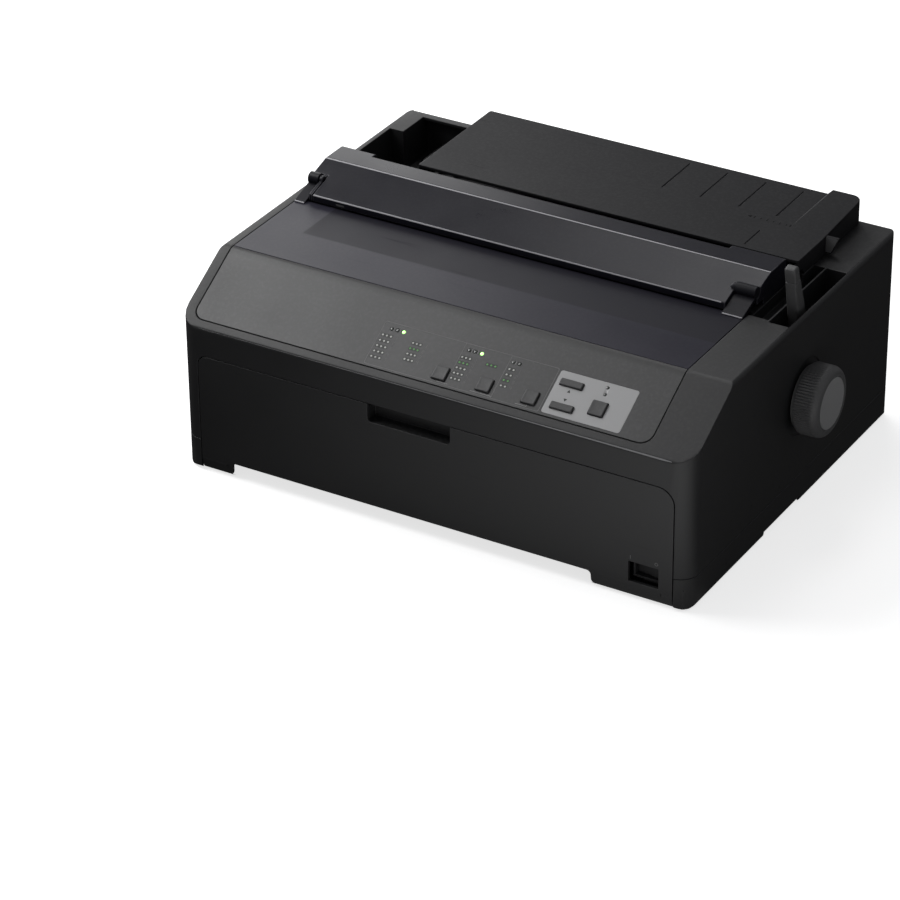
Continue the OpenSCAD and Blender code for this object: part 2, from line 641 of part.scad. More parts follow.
guide_y1 = rear_y - 0.5;
guide_t = 2.5;
guide_block_x = guide_x1 - 28;
guide_block_z = guide_z + 4;
guide_block_y0 = guide_y0 + 40;
guide_groove = [0.8, 0.5];   // width and depth
tab_y = guide_y0 + 43.5;
tab_z0 = top_z + 1.4;
module sheet_guide() place() color([0.17, 0.17, 0.18]) difference() {
  union() {
    difference() {
      translate([0, 0, top_z + seat]) linear_extrude(guide_z - top_z - seat)
        rect(guide_x0, guide_x1, guide_y0, guide_y1, [1, 1, 8, 2]);
      translate([0, 0, top_z - 1]) linear_extrude(guide_z - guide_t - top_z + 1)
        rect(guide_x0 + wall, guide_x1 - wall, guide_y0 - 5, guide_y1 - wall, [1, 1, 6, 1]);
    }
    // raised rear block: it rises slowly to the back and has a ramp at its inner side
    difference() {
      translate([0, 0, guide_z - 1]) linear_extrude(guide_block_z - guide_z + 1)
        rect(guide_block_x - 4, guide_x1, guide_block_y0, guide_y1, [0, 0, 8, 0]);
      translate([guide_block_x, 0, guide_z]) rotate([0, -45, 0]) box(-8, 8, guide_y0, rear_y, 0, 12);
      translate([0, guide_block_y0, guide_z])
        rotate([atan((guide_block_z - guide_z) / (guide_y1 - guide_block_y0)), 0, 0])
          box(guide_x0, guide_x1 + 1, -5, case_d / 3, 0, 30);
    }
    // stub pins and their pads
    rod(guide_x0 - ear_gap - guide_ear_t, guide_x0 + wall, guide_axis_y, guide_axis_z, hinge_pin_r);
    rod(guide_ear_x1 - guide_ear_t, guide_x1 - 0.5, guide_axis_y, guide_axis_z, hinge_pin_r);
    // finger tab, narrower below
    along_y(tab_y, tab_y + guide_t) polygon([
      [guide_x1 - 1, tab_z0], [guide_x1 + 4.5, tab_z0], [guide_x1 + 10, guide_z], [guide_x1 - 1, guide_z]]);
  }
  // round the front feet of the side walls so that they clear the case when it tips
  for (x = [guide_x0 - 1, guide_x1 - wall - 1]) difference() {
    box(x, x + wall + 2, guide_y0 - 6, guide_axis_y, top_z - 1, guide_axis_z);
    rod(x - 1, x + wall + 3, guide_axis_y, guide_axis_z, guide_axis_z - top_z - seat);
  }
  // paper grooves; the last one has a front part too
  for (x = groove_x) groove(x, guide_y0 + 55, guide_y1 - 6);
  groove(groove_x[3], guide_y0 + 5, guide_y0 + 29);
}
groove_x = [for (d = [171.5, 202.5, 233.5, 263.5]) guide_x0 + d];
module groove(x, y0, y1)
  box(x - guide_groove[0] / 2, x + guide_groove[0] / 2, y0, y1, guide_z - guide_groove[1], guide_z + 1);

// ---------- print unit frame ----------

base_x0 = left_x + 24;
base_x1 = right_x - 50;
base_y0 = front_y + 76;
base_y1 = front_y + 232;
base_z = 10;
base_t = 1.5;
base_flange_h = 7;
frame_t = 1.6;
left_frame_x = base_x0;
right_frame_x = base_x1 - frame_t;
bush_r = 9;
rail_y = front_y + 111;
rail_z = 80;
mesh_gap = 0.1;
train_angle = 205.9;
platen_teeth = 40;
idler_teeth = 24;
tractor_teeth = 20;
pinion_teeth = 12;
function centres(n1, n2) = gear_m * (n1 + n2) / 2 + mesh_gap;
platen_c = [platen_y, platen_z];
idler_a_c = platen_c + centres(platen_teeth, idler_teeth) * dir(train_angle);
idler_b_c = idler_a_c + centres(idler_teeth, idler_teeth) * dir(train_angle);
tractor_c = idler_b_c + centres(idler_teeth, tractor_teeth) * dir(train_angle);
pinion_angle = -60;
pinion_c = idler_a_c + centres(idler_teeth, pinion_teeth) * dir(pinion_angle);
support_c = tractor_c + [-30, 0];
tractor_shaft_r = 3;
stud_r = 3;
motor_shaft_r = 2.5;

// Side plate outline (Y, Z) shared by both frames.
function frame_pts() = rounded([
  [front_y + 22, base_z], [base_y1, base_z], [base_y1, 60], [platen_y + 30, 112], [platen_y - 6, 124],
  [rail_y - 20, 112], [rail_y - 40, 66], [front_y + 22, 60]], [3, 3, 10, 10, 10, 10, 10, 8]);

module side_plate(x) difference() {
  along_x(x, x + frame_t) polygon(frame_pts());
  rod(x - 1, x + frame_t + 1, platen_y, platen_z, bush_r);
  rod(x - 1, x + frame_t + 1, rail_y, rail_z, rail_r);
  rod(x - 1, x + frame_t + 1, tractor_c[0], tractor_c[1], tractor_shaft_r + run);
  rod(x - 1, x + frame_t + 1, support_c[0], support_c[1], tractor_shaft_r);
}

module left_frame() place() color([0.66, 0.67, 0.7]) difference() {
  side_plate(left_frame_x);
  rod(left_frame_x - 1, left_frame_x + frame_t + 1, pinion_c[0], pinion_c[1], 6);
  for (c = [idler_a_c, idler_b_c]) rod(left_frame_x - 1, left_frame_x + frame_t + 1, c[0], c[1], stud_r);
}

module right_frame() place() color([0.66, 0.67, 0.7]) difference() {
  side_plate(right_frame_x);
  rod(right_frame_x - 1, right_frame_x + frame_t + 1, release_y, release_z, 2.5);
}

module base_frame() place() color([0.62, 0.63, 0.66]) {
  box(base_x0 + frame_t, base_x1 - frame_t, base_y0, base_y1, base_z, base_z + base_t);
  for (y = [base_y0, base_y1 - frame_t])
    box(base_x0 + frame_t, base_x1 - frame_t, y, y + frame_t, base_z, base_z + base_flange_h);
}

module carriage_shaft() place() color([0.78, 0.79, 0.8])
  rod(left_frame_x - 1, right_frame_x + frame_t + 1, rail_y, rail_z, rail_r);

// Path of the paper from the tractors to the platen (Y, Z), drop below it; the lower one runs back.
function ramp_pts(drop) =
  let (pts = [[tractor_c[0] + 14, 44 - drop], [platen_y - platen_r - 2, platen_z - 20 - drop],
    [platen_y - 6, platen_z - platen_r - 4 - drop]])
  drop > 0 ? [pts[2], pts[1], pts[0]] : pts;
module paper_ramp() place() color([0.25, 0.25, 0.26]) {
  along_x(base_x0 + 46, base_x1 - 46) polygon(concat(ramp_pts(0), ramp_pts(1.5)));
  // feet on the base
  for (x = [base_x0 + 60, base_x1 - 64]) box(x, x + 4, rail_y + 9, rail_y + 14, base_z + base_t, 59);
}

// ---------- paper feed ----------

platen_x0 = left_frame_x + frame_t + platen_gap;
platen_x1 = right_frame_x - platen_gap;
knob_x0 = right_x + 0.4;
knob_x1 = right_x + knob_out;
gear_w = 6;
gear_x1 = left_frame_x - 2;
gear_x0 = gear_x1 - gear_w;

module platen_roller() place() color([0.1, 0.1, 0.1]) difference() {
  rod(platen_x0, platen_x1, platen_y, platen_z, platen_r);
  rod(platen_x0 - 1, platen_x1 + 1, platen_y, platen_z, shaft_r);
}

module platen_shaft() place() color([0.75, 0.76, 0.78])
  rod(gear_x0 - 0.5, knob_x1 - 6, platen_y, platen_z, shaft_r);

module platen_bushes() place() color([0.85, 0.84, 0.8])
  for (side = [[left_frame_x, 1], [right_frame_x + frame_t, -1]])
    translate([side[0], platen_y, platen_z]) rotate([0, side[1] * 90, 0]) difference() {
      union() {
        cylinder(h = frame_t + 3, r = bush_r);
        translate([0, 0, frame_t]) cylinder(h = 3, r = bush_r + 2);
      }
      translate([0, 0, -1]) cylinder(h = frame_t + 5, r = shaft_r + run);
    }

knob_ribs = 40;
module feed_knob() place() color([0.28, 0.28, 0.29]) difference() {
  union() {
    rod(knob_x0, knob_x0 + 3, platen_y, platen_z, knob_r - 3);
    rod(knob_x0 + 2.9, knob_x1 - 5.5, platen_y, platen_z, knob_r);
    translate([knob_x1 - 5.5 - eps, platen_y, platen_z]) rotate([0, 90, 0])
      cylinder(h = 5.5 + eps, r1 = knob_r, r2 = knob_r - 5);
    rod(right_x - wall - 4, knob_x0 + 1, platen_y, platen_z, shaft_r + 4);
  }
  rod(right_x - wall - 5, knob_x1 - 6, platen_y, platen_z, shaft_r);
  for (i = [0:knob_ribs - 1]) let (a = i * 360 / knob_ribs)
    translate([knob_x0 + 2, platen_y + (knob_r + 0.5) * cos(a), platen_z + (knob_r + 0.5) * sin(a)])
      rotate([0, 90, 0]) cylinder(h = knob_x1, r = 1.1, $fn = 16);
}

// Involute spur gear outline: points of one tooth, repeated round the rim.
function inv_at(r, rb) = let (a = acos(min(1, rb / r))) tan(a) * 180 / PI - a;
function tooth(n, k, phase) =
  let (rp = gear_m * n / 2, rb = rp * cos(20), ra = rp + gear_m * 0.92, rf = rp - gear_m * 1.2,
       half = 90 / n - 0.16 * 180 / PI / rp + inv_at(rp, rb), r0 = max(rb, rf + 0.1),
       rs = [for (i = [0:3]) r0 + (ra - r0) * i / 3], mid = phase + 360 * k / n)
  concat([rf * dir(mid - half - 0.3 * 180 / n / 2)],
    [for (r = rs) r * dir(mid - half + inv_at(r, rb))],
    [for (i = [3:-1:0]) rs[i] * dir(mid + half - inv_at(rs[i], rb))],
    [rf * dir(mid + half + 0.3 * 180 / n / 2)]);
module spur(c, n, phase, x0, x1, bore) difference() {
  translate([x0, c[0], c[1]]) rotate([90, 0, 90]) linear_extrude(x1 - x0)
    polygon([for (k = [0:n - 1]) each tooth(n, k, phase)]);
  rod(x0 - 1, x1 + 1, c[0], c[1], bore);
}
// Phase of the second gear of a pair in mesh, its centre at angle phi from the first.
function mesh_phase(phi, p1, n1, n2) = phi + 180 + 180 / n2 + (phi - p1) * n1 / n2;
idler_a_phase = mesh_phase(train_angle, train_angle, platen_teeth, idler_teeth);
idler_b_phase = mesh_phase(train_angle, idler_a_phase, idler_teeth, idler_teeth);
tractor_phase = mesh_phase(train_angle, idler_b_phase, idler_teeth, tractor_teeth);
pinion_phase = mesh_phase(pinion_angle, idler_a_phase, idler_teeth, pinion_teeth);

module platen_gear() place() color([0.88, 0.87, 0.82]) {
  spur(platen_c, platen_teeth, train_angle, gear_x0, gear_x1, shaft_r);
}
module idler_gears_a() place() color([0.88, 0.87, 0.82])
  spur(idler_a_c, idler_teeth, idler_a_phase, gear_x0, gear_x1, stud_r + run);
module idler_gears_b() place() color([0.88, 0.87, 0.82])
  spur(idler_b_c, idler_teeth, idler_b_phase, gear_x0, gear_x1, stud_r + run);
module tractor_gear() place() color([0.88, 0.87, 0.82])
  spur(tractor_c, tractor_teeth, tractor_phase, gear_x0, gear_x1, tractor_shaft_r);
module feed_pinion() place() color([0.8, 0.7, 0.4])
  spur(pinion_c, pinion_teeth, pinion_phase, gear_x0, gear_x1, motor_shaft_r);

module idler_studs() place() color([0.75, 0.76, 0.78])
  for (c = [idler_a_c, idler_b_c]) {
    rod(gear_x0 - 0.3, left_frame_x + frame_t, c[0], c[1], stud_r);
    rod(gear_x1 + 0.2, left_frame_x, c[0], c[1], stud_r + 1.5);
    rod(gear_x0 - 1.3, gear_x0 - 0.3, c[0], c[1], stud_r + 1.2);
  }

motor_s = 42;
feed_motor_l = 34;
module feed_motor() place() color([0.35, 0.36, 0.38]) difference() {
  union() {
    along_x(left_frame_x + frame_t, left_frame_x + frame_t + feed_motor_l)
      rect(pinion_c[0] - motor_s / 2 + 1, pinion_c[0] + motor_s / 2 - 1, pinion_c[1] - motor_s / 2 + 2,
        pinion_c[1] + motor_s / 2 - 2, [5, 5, 5, 5]);
    rod(left_frame_x + frame_t - 1.2, left_frame_x + frame_t + 1, pinion_c[0], pinion_c[1], 5.9);
    // fixed bearing nose
    box(left_frame_x + frame_t + feed_motor_l - 6, left_frame_x + frame_t + feed_motor_l + 4,
      pinion_c[0] - 8, pinion_c[0] + 8, pinion_c[1] - 14, pinion_c[1] - 4);
  }
  rod(left_frame_x - 2, left_frame_x + frame_t + 20, pinion_c[0], pinion_c[1], motor_shaft_r + run);
}

module tractor_shaft() place() color([0.75, 0.76, 0.78])
  rod(gear_x0 - 0.3, right_frame_x + frame_t + 1, tractor_c[0], tractor_c[1], tractor_shaft_r);
module tractor_support_shaft() place() color([0.75, 0.76, 0.78])
  rod(left_frame_x - 0.5, right_frame_x + frame_t + 0.5, support_c[0], support_c[1], tractor_shaft_r);

form_cx = -8;
tractor_w = 16;
belt_w = 6;
tractor_h = 9;
flap_y = (tractor_c[0] + support_c[0]) / 2;
flap_z = tractor_c[1] + tractor_h + 0.5;
lug_r = 2.4;
flap_dx = tractor_w / 2 + lug_r + 0.4;
flap_lift = 3;
flap_t = 1.8;
flap_pin_r = 1.2;
left_tractor_x = form_cx - form_w / 2;
right_tractor_x = form_cx + form_w / 2;

// Box on one side of x: s is 1 to the right and -1 to the left.
module side_box(x, s, d0, d1, y0, y1, z0, z1)
  box(x + min(s * d0, s * d1), x + max(s * d0, s * d1), y0, y1, z0, z1);

// Cylinder along Y on the flap's hinge line.
module flap_rod(x, y0, y1, r) translate([x, y0, flap_z]) rotate([-90, 0, 0]) cylinder(h = y1 - y0, r = r);
module oblong(c0, c1, r) { // (Y, Z) outline round two centres on one level
  translate(c0) circle(r);
  translate(c1) circle(r);
  translate([c1[0], c0[1] - r]) square([c0[0] - c1[0], 2 * r]);
}
// Tractor unit: two cheeks and a web round the pin belt.
module tractor_unit(x, s) difference() {
  union() {
    along_x(x - tractor_w / 2, x - belt_w / 2 - 0.3) oblong(tractor_c, support_c, tractor_h);
    along_x(x + belt_w / 2 + 0.3, x + tractor_w / 2) oblong(tractor_c, support_c, tractor_h);
    box(x - tractor_w / 2 + 1, x + tractor_w / 2 - 1, support_c[0] + 8, tractor_c[0] - 8,
      tractor_c[1] - 4, tractor_c[1] + 4);
    // two lugs on the outer cheek hold the flap
    for (y = [flap_y - 12, flap_y + 7]) {
      flap_rod(x + s * flap_dx, y, y + 5, lug_r);
      side_box(x, s, tractor_w / 2 - 2, flap_dx, y, y + 5, flap_z - lug_r, flap_z);
    }
  }
  for (c = [tractor_c, support_c]) rod(x - tractor_w, x + tractor_w, c[0], c[1], tractor_shaft_r + run);
  flap_rod(x + s * flap_dx, flap_y - 20, flap_y + 20, flap_pin_r + run);
  rod(x - belt_w / 2 - 0.3, x + belt_w / 2 + 0.3, tractor_c[0], tractor_c[1], tractor_h - 2);
}
module left_tractor() place() color([0.16, 0.16, 0.17]) tractor_unit(left_tractor_x, -1);
module right_tractor() place() color([0.16, 0.16, 0.17]) tractor_unit(right_tractor_x, 1);

// Pin belt: a loop round the two shafts with pins along its top run.
belt_t = 1.2;
module pin_belt(x) {
  difference() {
    along_x(x - belt_w / 2, x + belt_w / 2) oblong(tractor_c, support_c, tractor_h - 0.5);
    along_x(x - belt_w / 2 - 1, x + belt_w / 2 + 1) oblong(tractor_c, support_c, tractor_h - 0.5 - belt_t);
  }
  for (i = [0:2]) translate([x, support_c[0] + 2 + i * pin_pitch, tractor_c[1] + tractor_h - 0.5 - eps])
    cylinder(h = 2, r1 = 1.9, r2 = 1.2, $fn = 32);
}
module left_pin_belt() place() color([0.82, 0.8, 0.72]) pin_belt(left_tractor_x);
module right_pin_belt() place() color([0.82, 0.8, 0.72]) pin_belt(right_tractor_x);

// Flap that holds the paper down on the pins, hinged on the outer cheek's lugs.
module tractor_flap(x, s) difference() {
  union() {
    side_box(x, s, -tractor_w / 2, tractor_w / 2 - seat, support_c[0] - 6, tractor_c[0] + 6,
      flap_z + flap_lift, flap_z + flap_lift + flap_t);
    side_box(x, s, tractor_w / 2 - 1, flap_dx + 1.2, flap_y - 6.7, flap_y + 6.7,
      flap_z + flap_lift, flap_z + flap_lift + flap_t);
    side_box(x, s, flap_dx - 1.2, flap_dx + 1.2, flap_y - 6.7, flap_y + 6.7,
      flap_z, flap_z + flap_lift + flap_t);
    flap_rod(x + s * flap_dx, flap_y - 6.7, flap_y + 6.7, lug_r);
    flap_rod(x + s * flap_dx, flap_y - 12, flap_y + 12, flap_pin_r);
  }
  // slot over the pins
  box(x - 2.6, x + 2.6, support_c[0] - 2, tractor_c[0] + 2, flap_z, flap_z + 10);
}
module left_tractor_flap() place() color([0.2, 0.2, 0.21]) tractor_flap(left_tractor_x, -1);
module right_tractor_flap() place() color([0.2, 0.2, 0.21]) tractor_flap(right_tractor_x, 1);

// Lock lever: a cam ring round the support shaft with a short handle to the front.
lock_w = 3;
lock_play = 0.35;
lock_dx = tractor_w / 2 + 0.3 + lock_w / 2;
module lock_lever(x, s) difference() {
  union() {
    rod(x + s * lock_dx - lock_w / 2, x + s * lock_dx + lock_w / 2, support_c[0], support_c[1], 6);
    side_box(x, s, lock_dx - lock_w / 2, lock_dx + lock_w / 2, support_c[0] - 17, support_c[0],
      support_c[1] - 2.5, support_c[1] + 2.5);
  }
  rod(x - tractor_w, x + tractor_w, support_c[0], support_c[1], tractor_shaft_r + lock_play);
}
module left_lock_lever() place() color([0.3, 0.5, 0.42]) lock_lever(left_tractor_x, -1);
module right_lock_lever() place() color([0.3, 0.5, 0.42]) lock_lever(right_tractor_x, 1);

// ---------- print unit ----------

carriage_x = -12;
carriage_w = 46;
belt_y = rail_y - 15;
belt_z0 = 58;
belt_h = 6;
belt_play = 0.2;
belt_thick = 1;
motor_pulley_x = base_x1 - 26;
idler_pulley_x = base_x0 + 22;
head_tip_y = platen_y - platen_r - 1.9;
leg_y = belt_y - pulley_r - belt_play - belt_thick - seat;

module carriage() place() color([0.22, 0.22, 0.23]) difference() {
  union() {
    rod(carriage_x - carriage_w / 2, carriage_x + carriage_w / 2, rail_y, rail_z, rail_r + 4);
    box(carriage_x - carriage_w / 2, carriage_x + carriage_w / 2, rail_y - 24, rail_y + 6,
      rail_z + 4, rail_z + 12);
    // leg that clamps the front run of the belt
    box(carriage_x - 10, carriage_x + 10, leg_y - 2.4, leg_y, belt_z0, rail_z + 12);
    box(carriage_x - 10, carriage_x + 10, leg_y - 2.4, rail_y - 20, rail_z + 4, rail_z + 12);
  }
  rod(carriage_x - carriage_w, carriage_x + carriage_w, rail_y, rail_z, rail_r + run);
}

// Print head: nose to the platen, body and cooling fins.
module print_head() place() color([0.3, 0.3, 0.32]) {
  box(carriage_x - 5, carriage_x + 5, rail_y + rail_r + 4.4, head_tip_y, platen_z - 7, rail_z + 18);
  box(carriage_x - 5, carriage_x + 5, rail_y, head_tip_y, rail_z + 12, rail_z + 18);
  box(carriage_x - 16, carriage_x + 16, rail_y - 20, rail_y + 6, rail_z + 12, rail_z + 18);
  box(carriage_x - 10, carriage_x + 10, rail_y - 4, rail_y + 6, rail_z + 12, rail_z + 26);
  for (y = [rail_y - 20:3:rail_y + 1])
    box(carriage_x - 18, carriage_x + 18, y, y + 1.4, rail_z + 17.9, rail_z + 26);
}

module timing_belt() place() color([0.09, 0.09, 0.09]) difference() {
  translate([0, 0, belt_z0]) linear_extrude(belt_h) belt_loop(pulley_r + belt_play + belt_thick);
  translate([0, 0, belt_z0 - 1]) linear_extrude(belt_h + 2) belt_loop(pulley_r + belt_play);
}
module belt_loop(r) {
  for (x = [idler_pulley_x, motor_pulley_x]) translate([x, belt_y]) circle(r);
  translate([idler_pulley_x, belt_y - r]) square([motor_pulley_x - idler_pulley_x, 2 * r]);
}

carriage_motor_h = 36;
module carriage_motor() place() color([0.35, 0.36, 0.38]) difference() {
  union() {
    translate([0, 0, belt_z0 - 4 - carriage_motor_h]) linear_extrude(carriage_motor_h)
      rect(motor_pulley_x - 19, motor_pulley_x + 19, belt_y - 19, belt_y + 19, [5, 5, 5, 5]);
    // foot down to the base plate
    box(motor_pulley_x - 12, motor_pulley_x + 12, belt_y + 2, belt_y + 19,
      base_z + base_t, belt_z0 - 3 - carriage_motor_h);
  }
  translate([motor_pulley_x, belt_y, belt_z0 - 20]) cylinder(h = 30, r = motor_shaft_r + run);
}

module pulley(x) {
  translate([x, belt_y, belt_z0]) cylinder(h = belt_h, r = pulley_r);
  translate([x, belt_y, belt_z0 - 1.2]) cylinder(h = 1.2, r = pulley_r + 2);
  translate([x, belt_y, belt_z0 + belt_h]) cylinder(h = 1.2, r = pulley_r + 2);
}
module motor_pulley() place() color([0.7, 0.71, 0.73]) {
  pulley(motor_pulley_x);
  translate([motor_pulley_x, belt_y, belt_z0 - 19]) cylinder(h = 20, r = motor_shaft_r);
}
module idler_pulley() place() color([0.7, 0.71, 0.73]) difference() {
  pulley(idler_pulley_x);
  translate([idler_pulley_x, belt_y, belt_z0 - 5]) cylinder(h = 20, r = stud_r + run);
}

ribbon_x0 = base_x0 + 21.5;
ribbon_x1 = base_x1 - 21.5;
ribbon_z0 = 112;
ribbon_h = 15;
ribbon_y0 = front_y + 72;
ribbon_y1 = front_y + 98;
knob_x = ribbon_x0 + 34;
knob_y = ribbon_y0 + 13;
ribbon_plane_y = (head_tip_y + platen_y - platen_r) / 2;
module ribbon_cartridge() place() color([0.15, 0.15, 0.16]) difference() {
  union() {
    translate([0, 0, ribbon_z0]) linear_extrude(ribbon_h)
      rect(ribbon_x0, ribbon_x1, ribbon_y0, ribbon_y1, [6, 6, 3, 3]);
    // arms that carry the ribbon to the platen
    for (x = [ribbon_x0, ribbon_x1 - 9]) {
      box(x, x + 9, ribbon_y1 - 3, ribbon_plane_y + 0.6, ribbon_z0, ribbon_z0 + 8);
      box(x, x + 9, ribbon_plane_y - 8, ribbon_plane_y + 0.6, platen_z - 6, ribbon_z0 + 1);
    }
    // hooks onto the side frames
    for (x = [[ribbon_x0 - 26, ribbon_x0 + 2], [ribbon_x1 - 2, ribbon_x1 + 21]])
      box(x[0], x[1], ribbon_y0 + 8, ribbon_y0 + 18, ribbon_z0 - 0.2, ribbon_z0 + 3);
    // ribbon stretched between the arms
    box(ribbon_x0 + 8, ribbon_x1 - 8, ribbon_plane_y - 0.15, ribbon_plane_y + 0.15, platen_z - 6, platen_z + 7);
  }
  translate([knob_x, knob_y, ribbon_z0 + 4]) cylinder(h = ribbon_h, r = 3 + run);
}
module ribbon_knob() place() color([0.25, 0.25, 0.26]) {
  translate([knob_x, knob_y, ribbon_z0 + 4.2]) cylinder(h = ribbon_h, r = 3);
  translate([knob_x, knob_y, ribbon_z0 + ribbon_h + 0.3]) difference() {
    cylinder(h = 5, r = 8);
    for (i = [0:11]) rotate([0, 0, i * 30]) translate([8.4, 0, -1]) cylinder(h = 7, r = 1.2, $fn = 16);
  }
}

// ---------- levers ----------

release_y = front_y + 186;
release_z = 101;
release_lean = 14;
release_top = 187;
release_len = (release_top - release_z) / cos(release_lean);
lever_t = 6.5;
module release_lever() place() color([0.3, 0.3, 0.31]) {
  translate([0, release_y, release_z]) rotate([release_lean, 0, 0]) {
    along_x(lever_x0, lever_x1) polygon(rounded([
      [-6, 0], [6, 0], [7.5, release_len * 0.45], [lever_t / 2, release_len],
      [-lever_t / 2, release_len], [-6, release_len * 0.45]], [0, 0, 20, 1.5, 2, 20]));
    rod(lever_x0, lever_x1, 0, 0, 8);
  }
  rod(right_frame_x - 1, lever_x0 + 1, release_y, release_z, 2.5 - run);
}

// ---------- electronics ----------

pcb_z = 13;
pcb_t = 1.6;
pcb_y0 = base_y1 + 4;
chip_x = [for (i = [0:3]) base_x0 + 109.5 + i * 42];
module main_board() place() color([0.1, 0.32, 0.18]) {
  box(base_x0 + 18, base_x1 - 20, pcb_y0, rear_y - wall - 1, pcb_z, pcb_z + pcb_t);
  // feet on the case floor
  for (x = [base_x0 + 24, base_x1 - 32]) box(x, x + 6, pcb_y0 + 4, pcb_y0 + 10, floor_top, pcb_z);
  // chips and capacitors
  color([0.1, 0.1, 0.1])
    for (x = chip_x) box(x, x + 26, pcb_y0 + 12, pcb_y0 + 30, pcb_z + pcb_t, pcb_z + pcb_t + 3);
  color([0.2, 0.2, 0.35])
    for (i = [0:2]) translate([base_x1 - 63.5 + i * 14, pcb_y0 + 36, pcb_z + pcb_t]) cylinder(h = 18, r = 5);
}

// Socket shell with a foot on the main board: centre, half width and height, then its cavity.
module socket(x, w, h, cavity_w, cavity_h, depth) {
  difference() {
    box(x - w, x + w, rear_y - 16, rear_y, port_z - h, port_z + h);
    box(x - cavity_w, x + cavity_w, rear_y - depth, rear_y + 1, port_z - cavity_h, port_z + cavity_h);
  }
  box(x - 5, x + 5, rear_y - 14, rear_y - 8, pcb_z + pcb_t, port_z - h + eps);
}
module interface_sockets() place() color([0.7, 0.7, 0.72]) {
  socket(parallel_x, parallel_w / 2, parallel_h / 2, 28, 4, 10);
  socket(usb_x, 6.5, 6, 4.5, 4.2, 10);
  socket(serial_x, 15.5, 6, 9, 4.5, 6);
}

supply_x0 = base_x1 + 5;
supply_top = pcb_z + pcb_t;
module power_supply() place() color([0.55, 0.5, 0.3]) {
  box(supply_x0, right_x - wall - 3, front_y + 60, rear_y - 48, pcb_z, supply_top);
  // feet on the case floor
  for (y = [front_y + 66, rear_y - 60]) box(supply_x0 + 4, supply_x0 + 10, y, y + 6, floor_top, pcb_z);
  // transformer, capacitors and heat sink
  color([0.8, 0.65, 0.2])
    box(supply_x0 + 6, supply_x0 + 36, front_y + 130, front_y + 168, supply_top, supply_top + 32.4);
  color([0.15, 0.15, 0.2])
    for (y = [84, 110]) translate([supply_x0 + 18, front_y + y, supply_top]) cylinder(h = 32, r = 10);
  color([0.7, 0.7, 0.72])
    box(supply_x0 + 8, supply_x0 + 11, front_y + 178, front_y + 230, supply_top, supply_top + 28.4);
}

// Box centred on the mains inlet in X and Z.
module inlet_box(w, h, y0, y1)
  box(inlet_x - w, inlet_x + w, rear_y + y0, rear_y + y1, inlet_z - h, inlet_z + h);
module power_inlet() place() color([0.1, 0.1, 0.1]) difference() {
  union() {
    inlet_box(inlet_w / 2, inlet_h / 2, -inlet_depth - 4, -seat);
    inlet_box(inlet_w / 2 + 3, inlet_h / 2 + 2, -wall - 2, -wall);
  }
  inlet_box(11, 7.5, -inlet_depth, 1);
}

rocker_gap = 0.6;
rocker_axis_y = front_y + 16;
rocker_cx = (switch_x0 + switch_x1) / 2;
rocker_w = switch_x1 - switch_x0 - 5;
rocker_reach = 7.4;
rocker_tilt = 9;
rocker_r = 1.5;
module rocker_housing() place() color([0.1, 0.1, 0.1]) difference() {
  union() {
    box(switch_x0 + 0.5, switch_x1 - 0.5, front_y + 6.9, front_y + 28, switch_z0 + 0.5, switch_z1 - 0.5);
    box(switch_x0 + 4, switch_x1 - 4, door_sweep + 2, front_y + 27, floor_top, switch_z0 + 1);
  }
  box(rocker_cx - rocker_w / 2 - rocker_gap, rocker_cx + rocker_w / 2 + rocker_gap, front_y + 5, front_y + 24,
    switch_z0 + 2, switch_z1 - 2);
  translate([rocker_cx, rocker_axis_y, switch_z0 - 1]) cylinder(h = 30, r = rocker_r + run);
}
// Rocker in its off place: two flats that meet in a shallow V over the pivot.
module power_rocker() place() color([0.16, 0.16, 0.17])
  translate([rocker_cx, rocker_axis_y, 0]) rotate([0, 0, -rocker_tilt]) {
    translate([0, 0, switch_z0 + 2.4]) linear_extrude(switch_z1 - switch_z0 - 4.8)
      polygon([
        [0.5 - rocker_w / 2, 1.2 - rocker_reach], [0, 1.8 - rocker_reach],
        [rocker_w / 2 - 0.5, 1.2 - rocker_reach], [rocker_w / 2 - 2, 1], [0, 3], [2 - rocker_w / 2, 1]]);
    translate([0, 0, switch_z0 + 0.6]) cylinder(h = switch_z1 - switch_z0 - 1.2, r = rocker_r);
  }

lower_case();
upper_case();
front_cover();
panel_bezel();
panel_label();
panel_board();
status_lights();
font_button();
pitch_button();
tear_off_button();
load_button();
feed_button();
pause_button();
smoked_lid();
paper_cover();
tension_rollers();
sheet_guide();
rubber_feet();
case_screws();
left_frame();
right_frame();
base_frame();
platen_roller();
platen_shaft();
platen_bushes();
feed_knob();
platen_gear();
idler_gears_a();
idler_gears_b();
idler_studs();
feed_motor();
feed_pinion();
tractor_shaft();
tractor_gear();
tractor_support_shaft();
left_tractor();
right_tractor();
left_pin_belt();
right_pin_belt();
left_tractor_flap();
right_tractor_flap();
left_lock_lever();
right_lock_lever();
paper_ramp();
carriage_shaft();
carriage();
print_head();
timing_belt();
carriage_motor();
motor_pulley();
idler_pulley();
ribbon_cartridge();
ribbon_knob();
release_lever();
main_board();
interface_sockets();
power_supply();
power_inlet();
power_rocker();
rocker_housing();
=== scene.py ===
"""Looks of a dot matrix printer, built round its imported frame.

Sizes in the pieces are millimetres in the case frame: X is centred on the case, Y is -159 at the
front face and Z is up from the ground. `to_row` turns such points into the row frame's metres.
"""

from __future__ import annotations

import json
import logging
import math
from dataclasses import dataclass, field
from enum import Enum
from typing import Any, Sequence

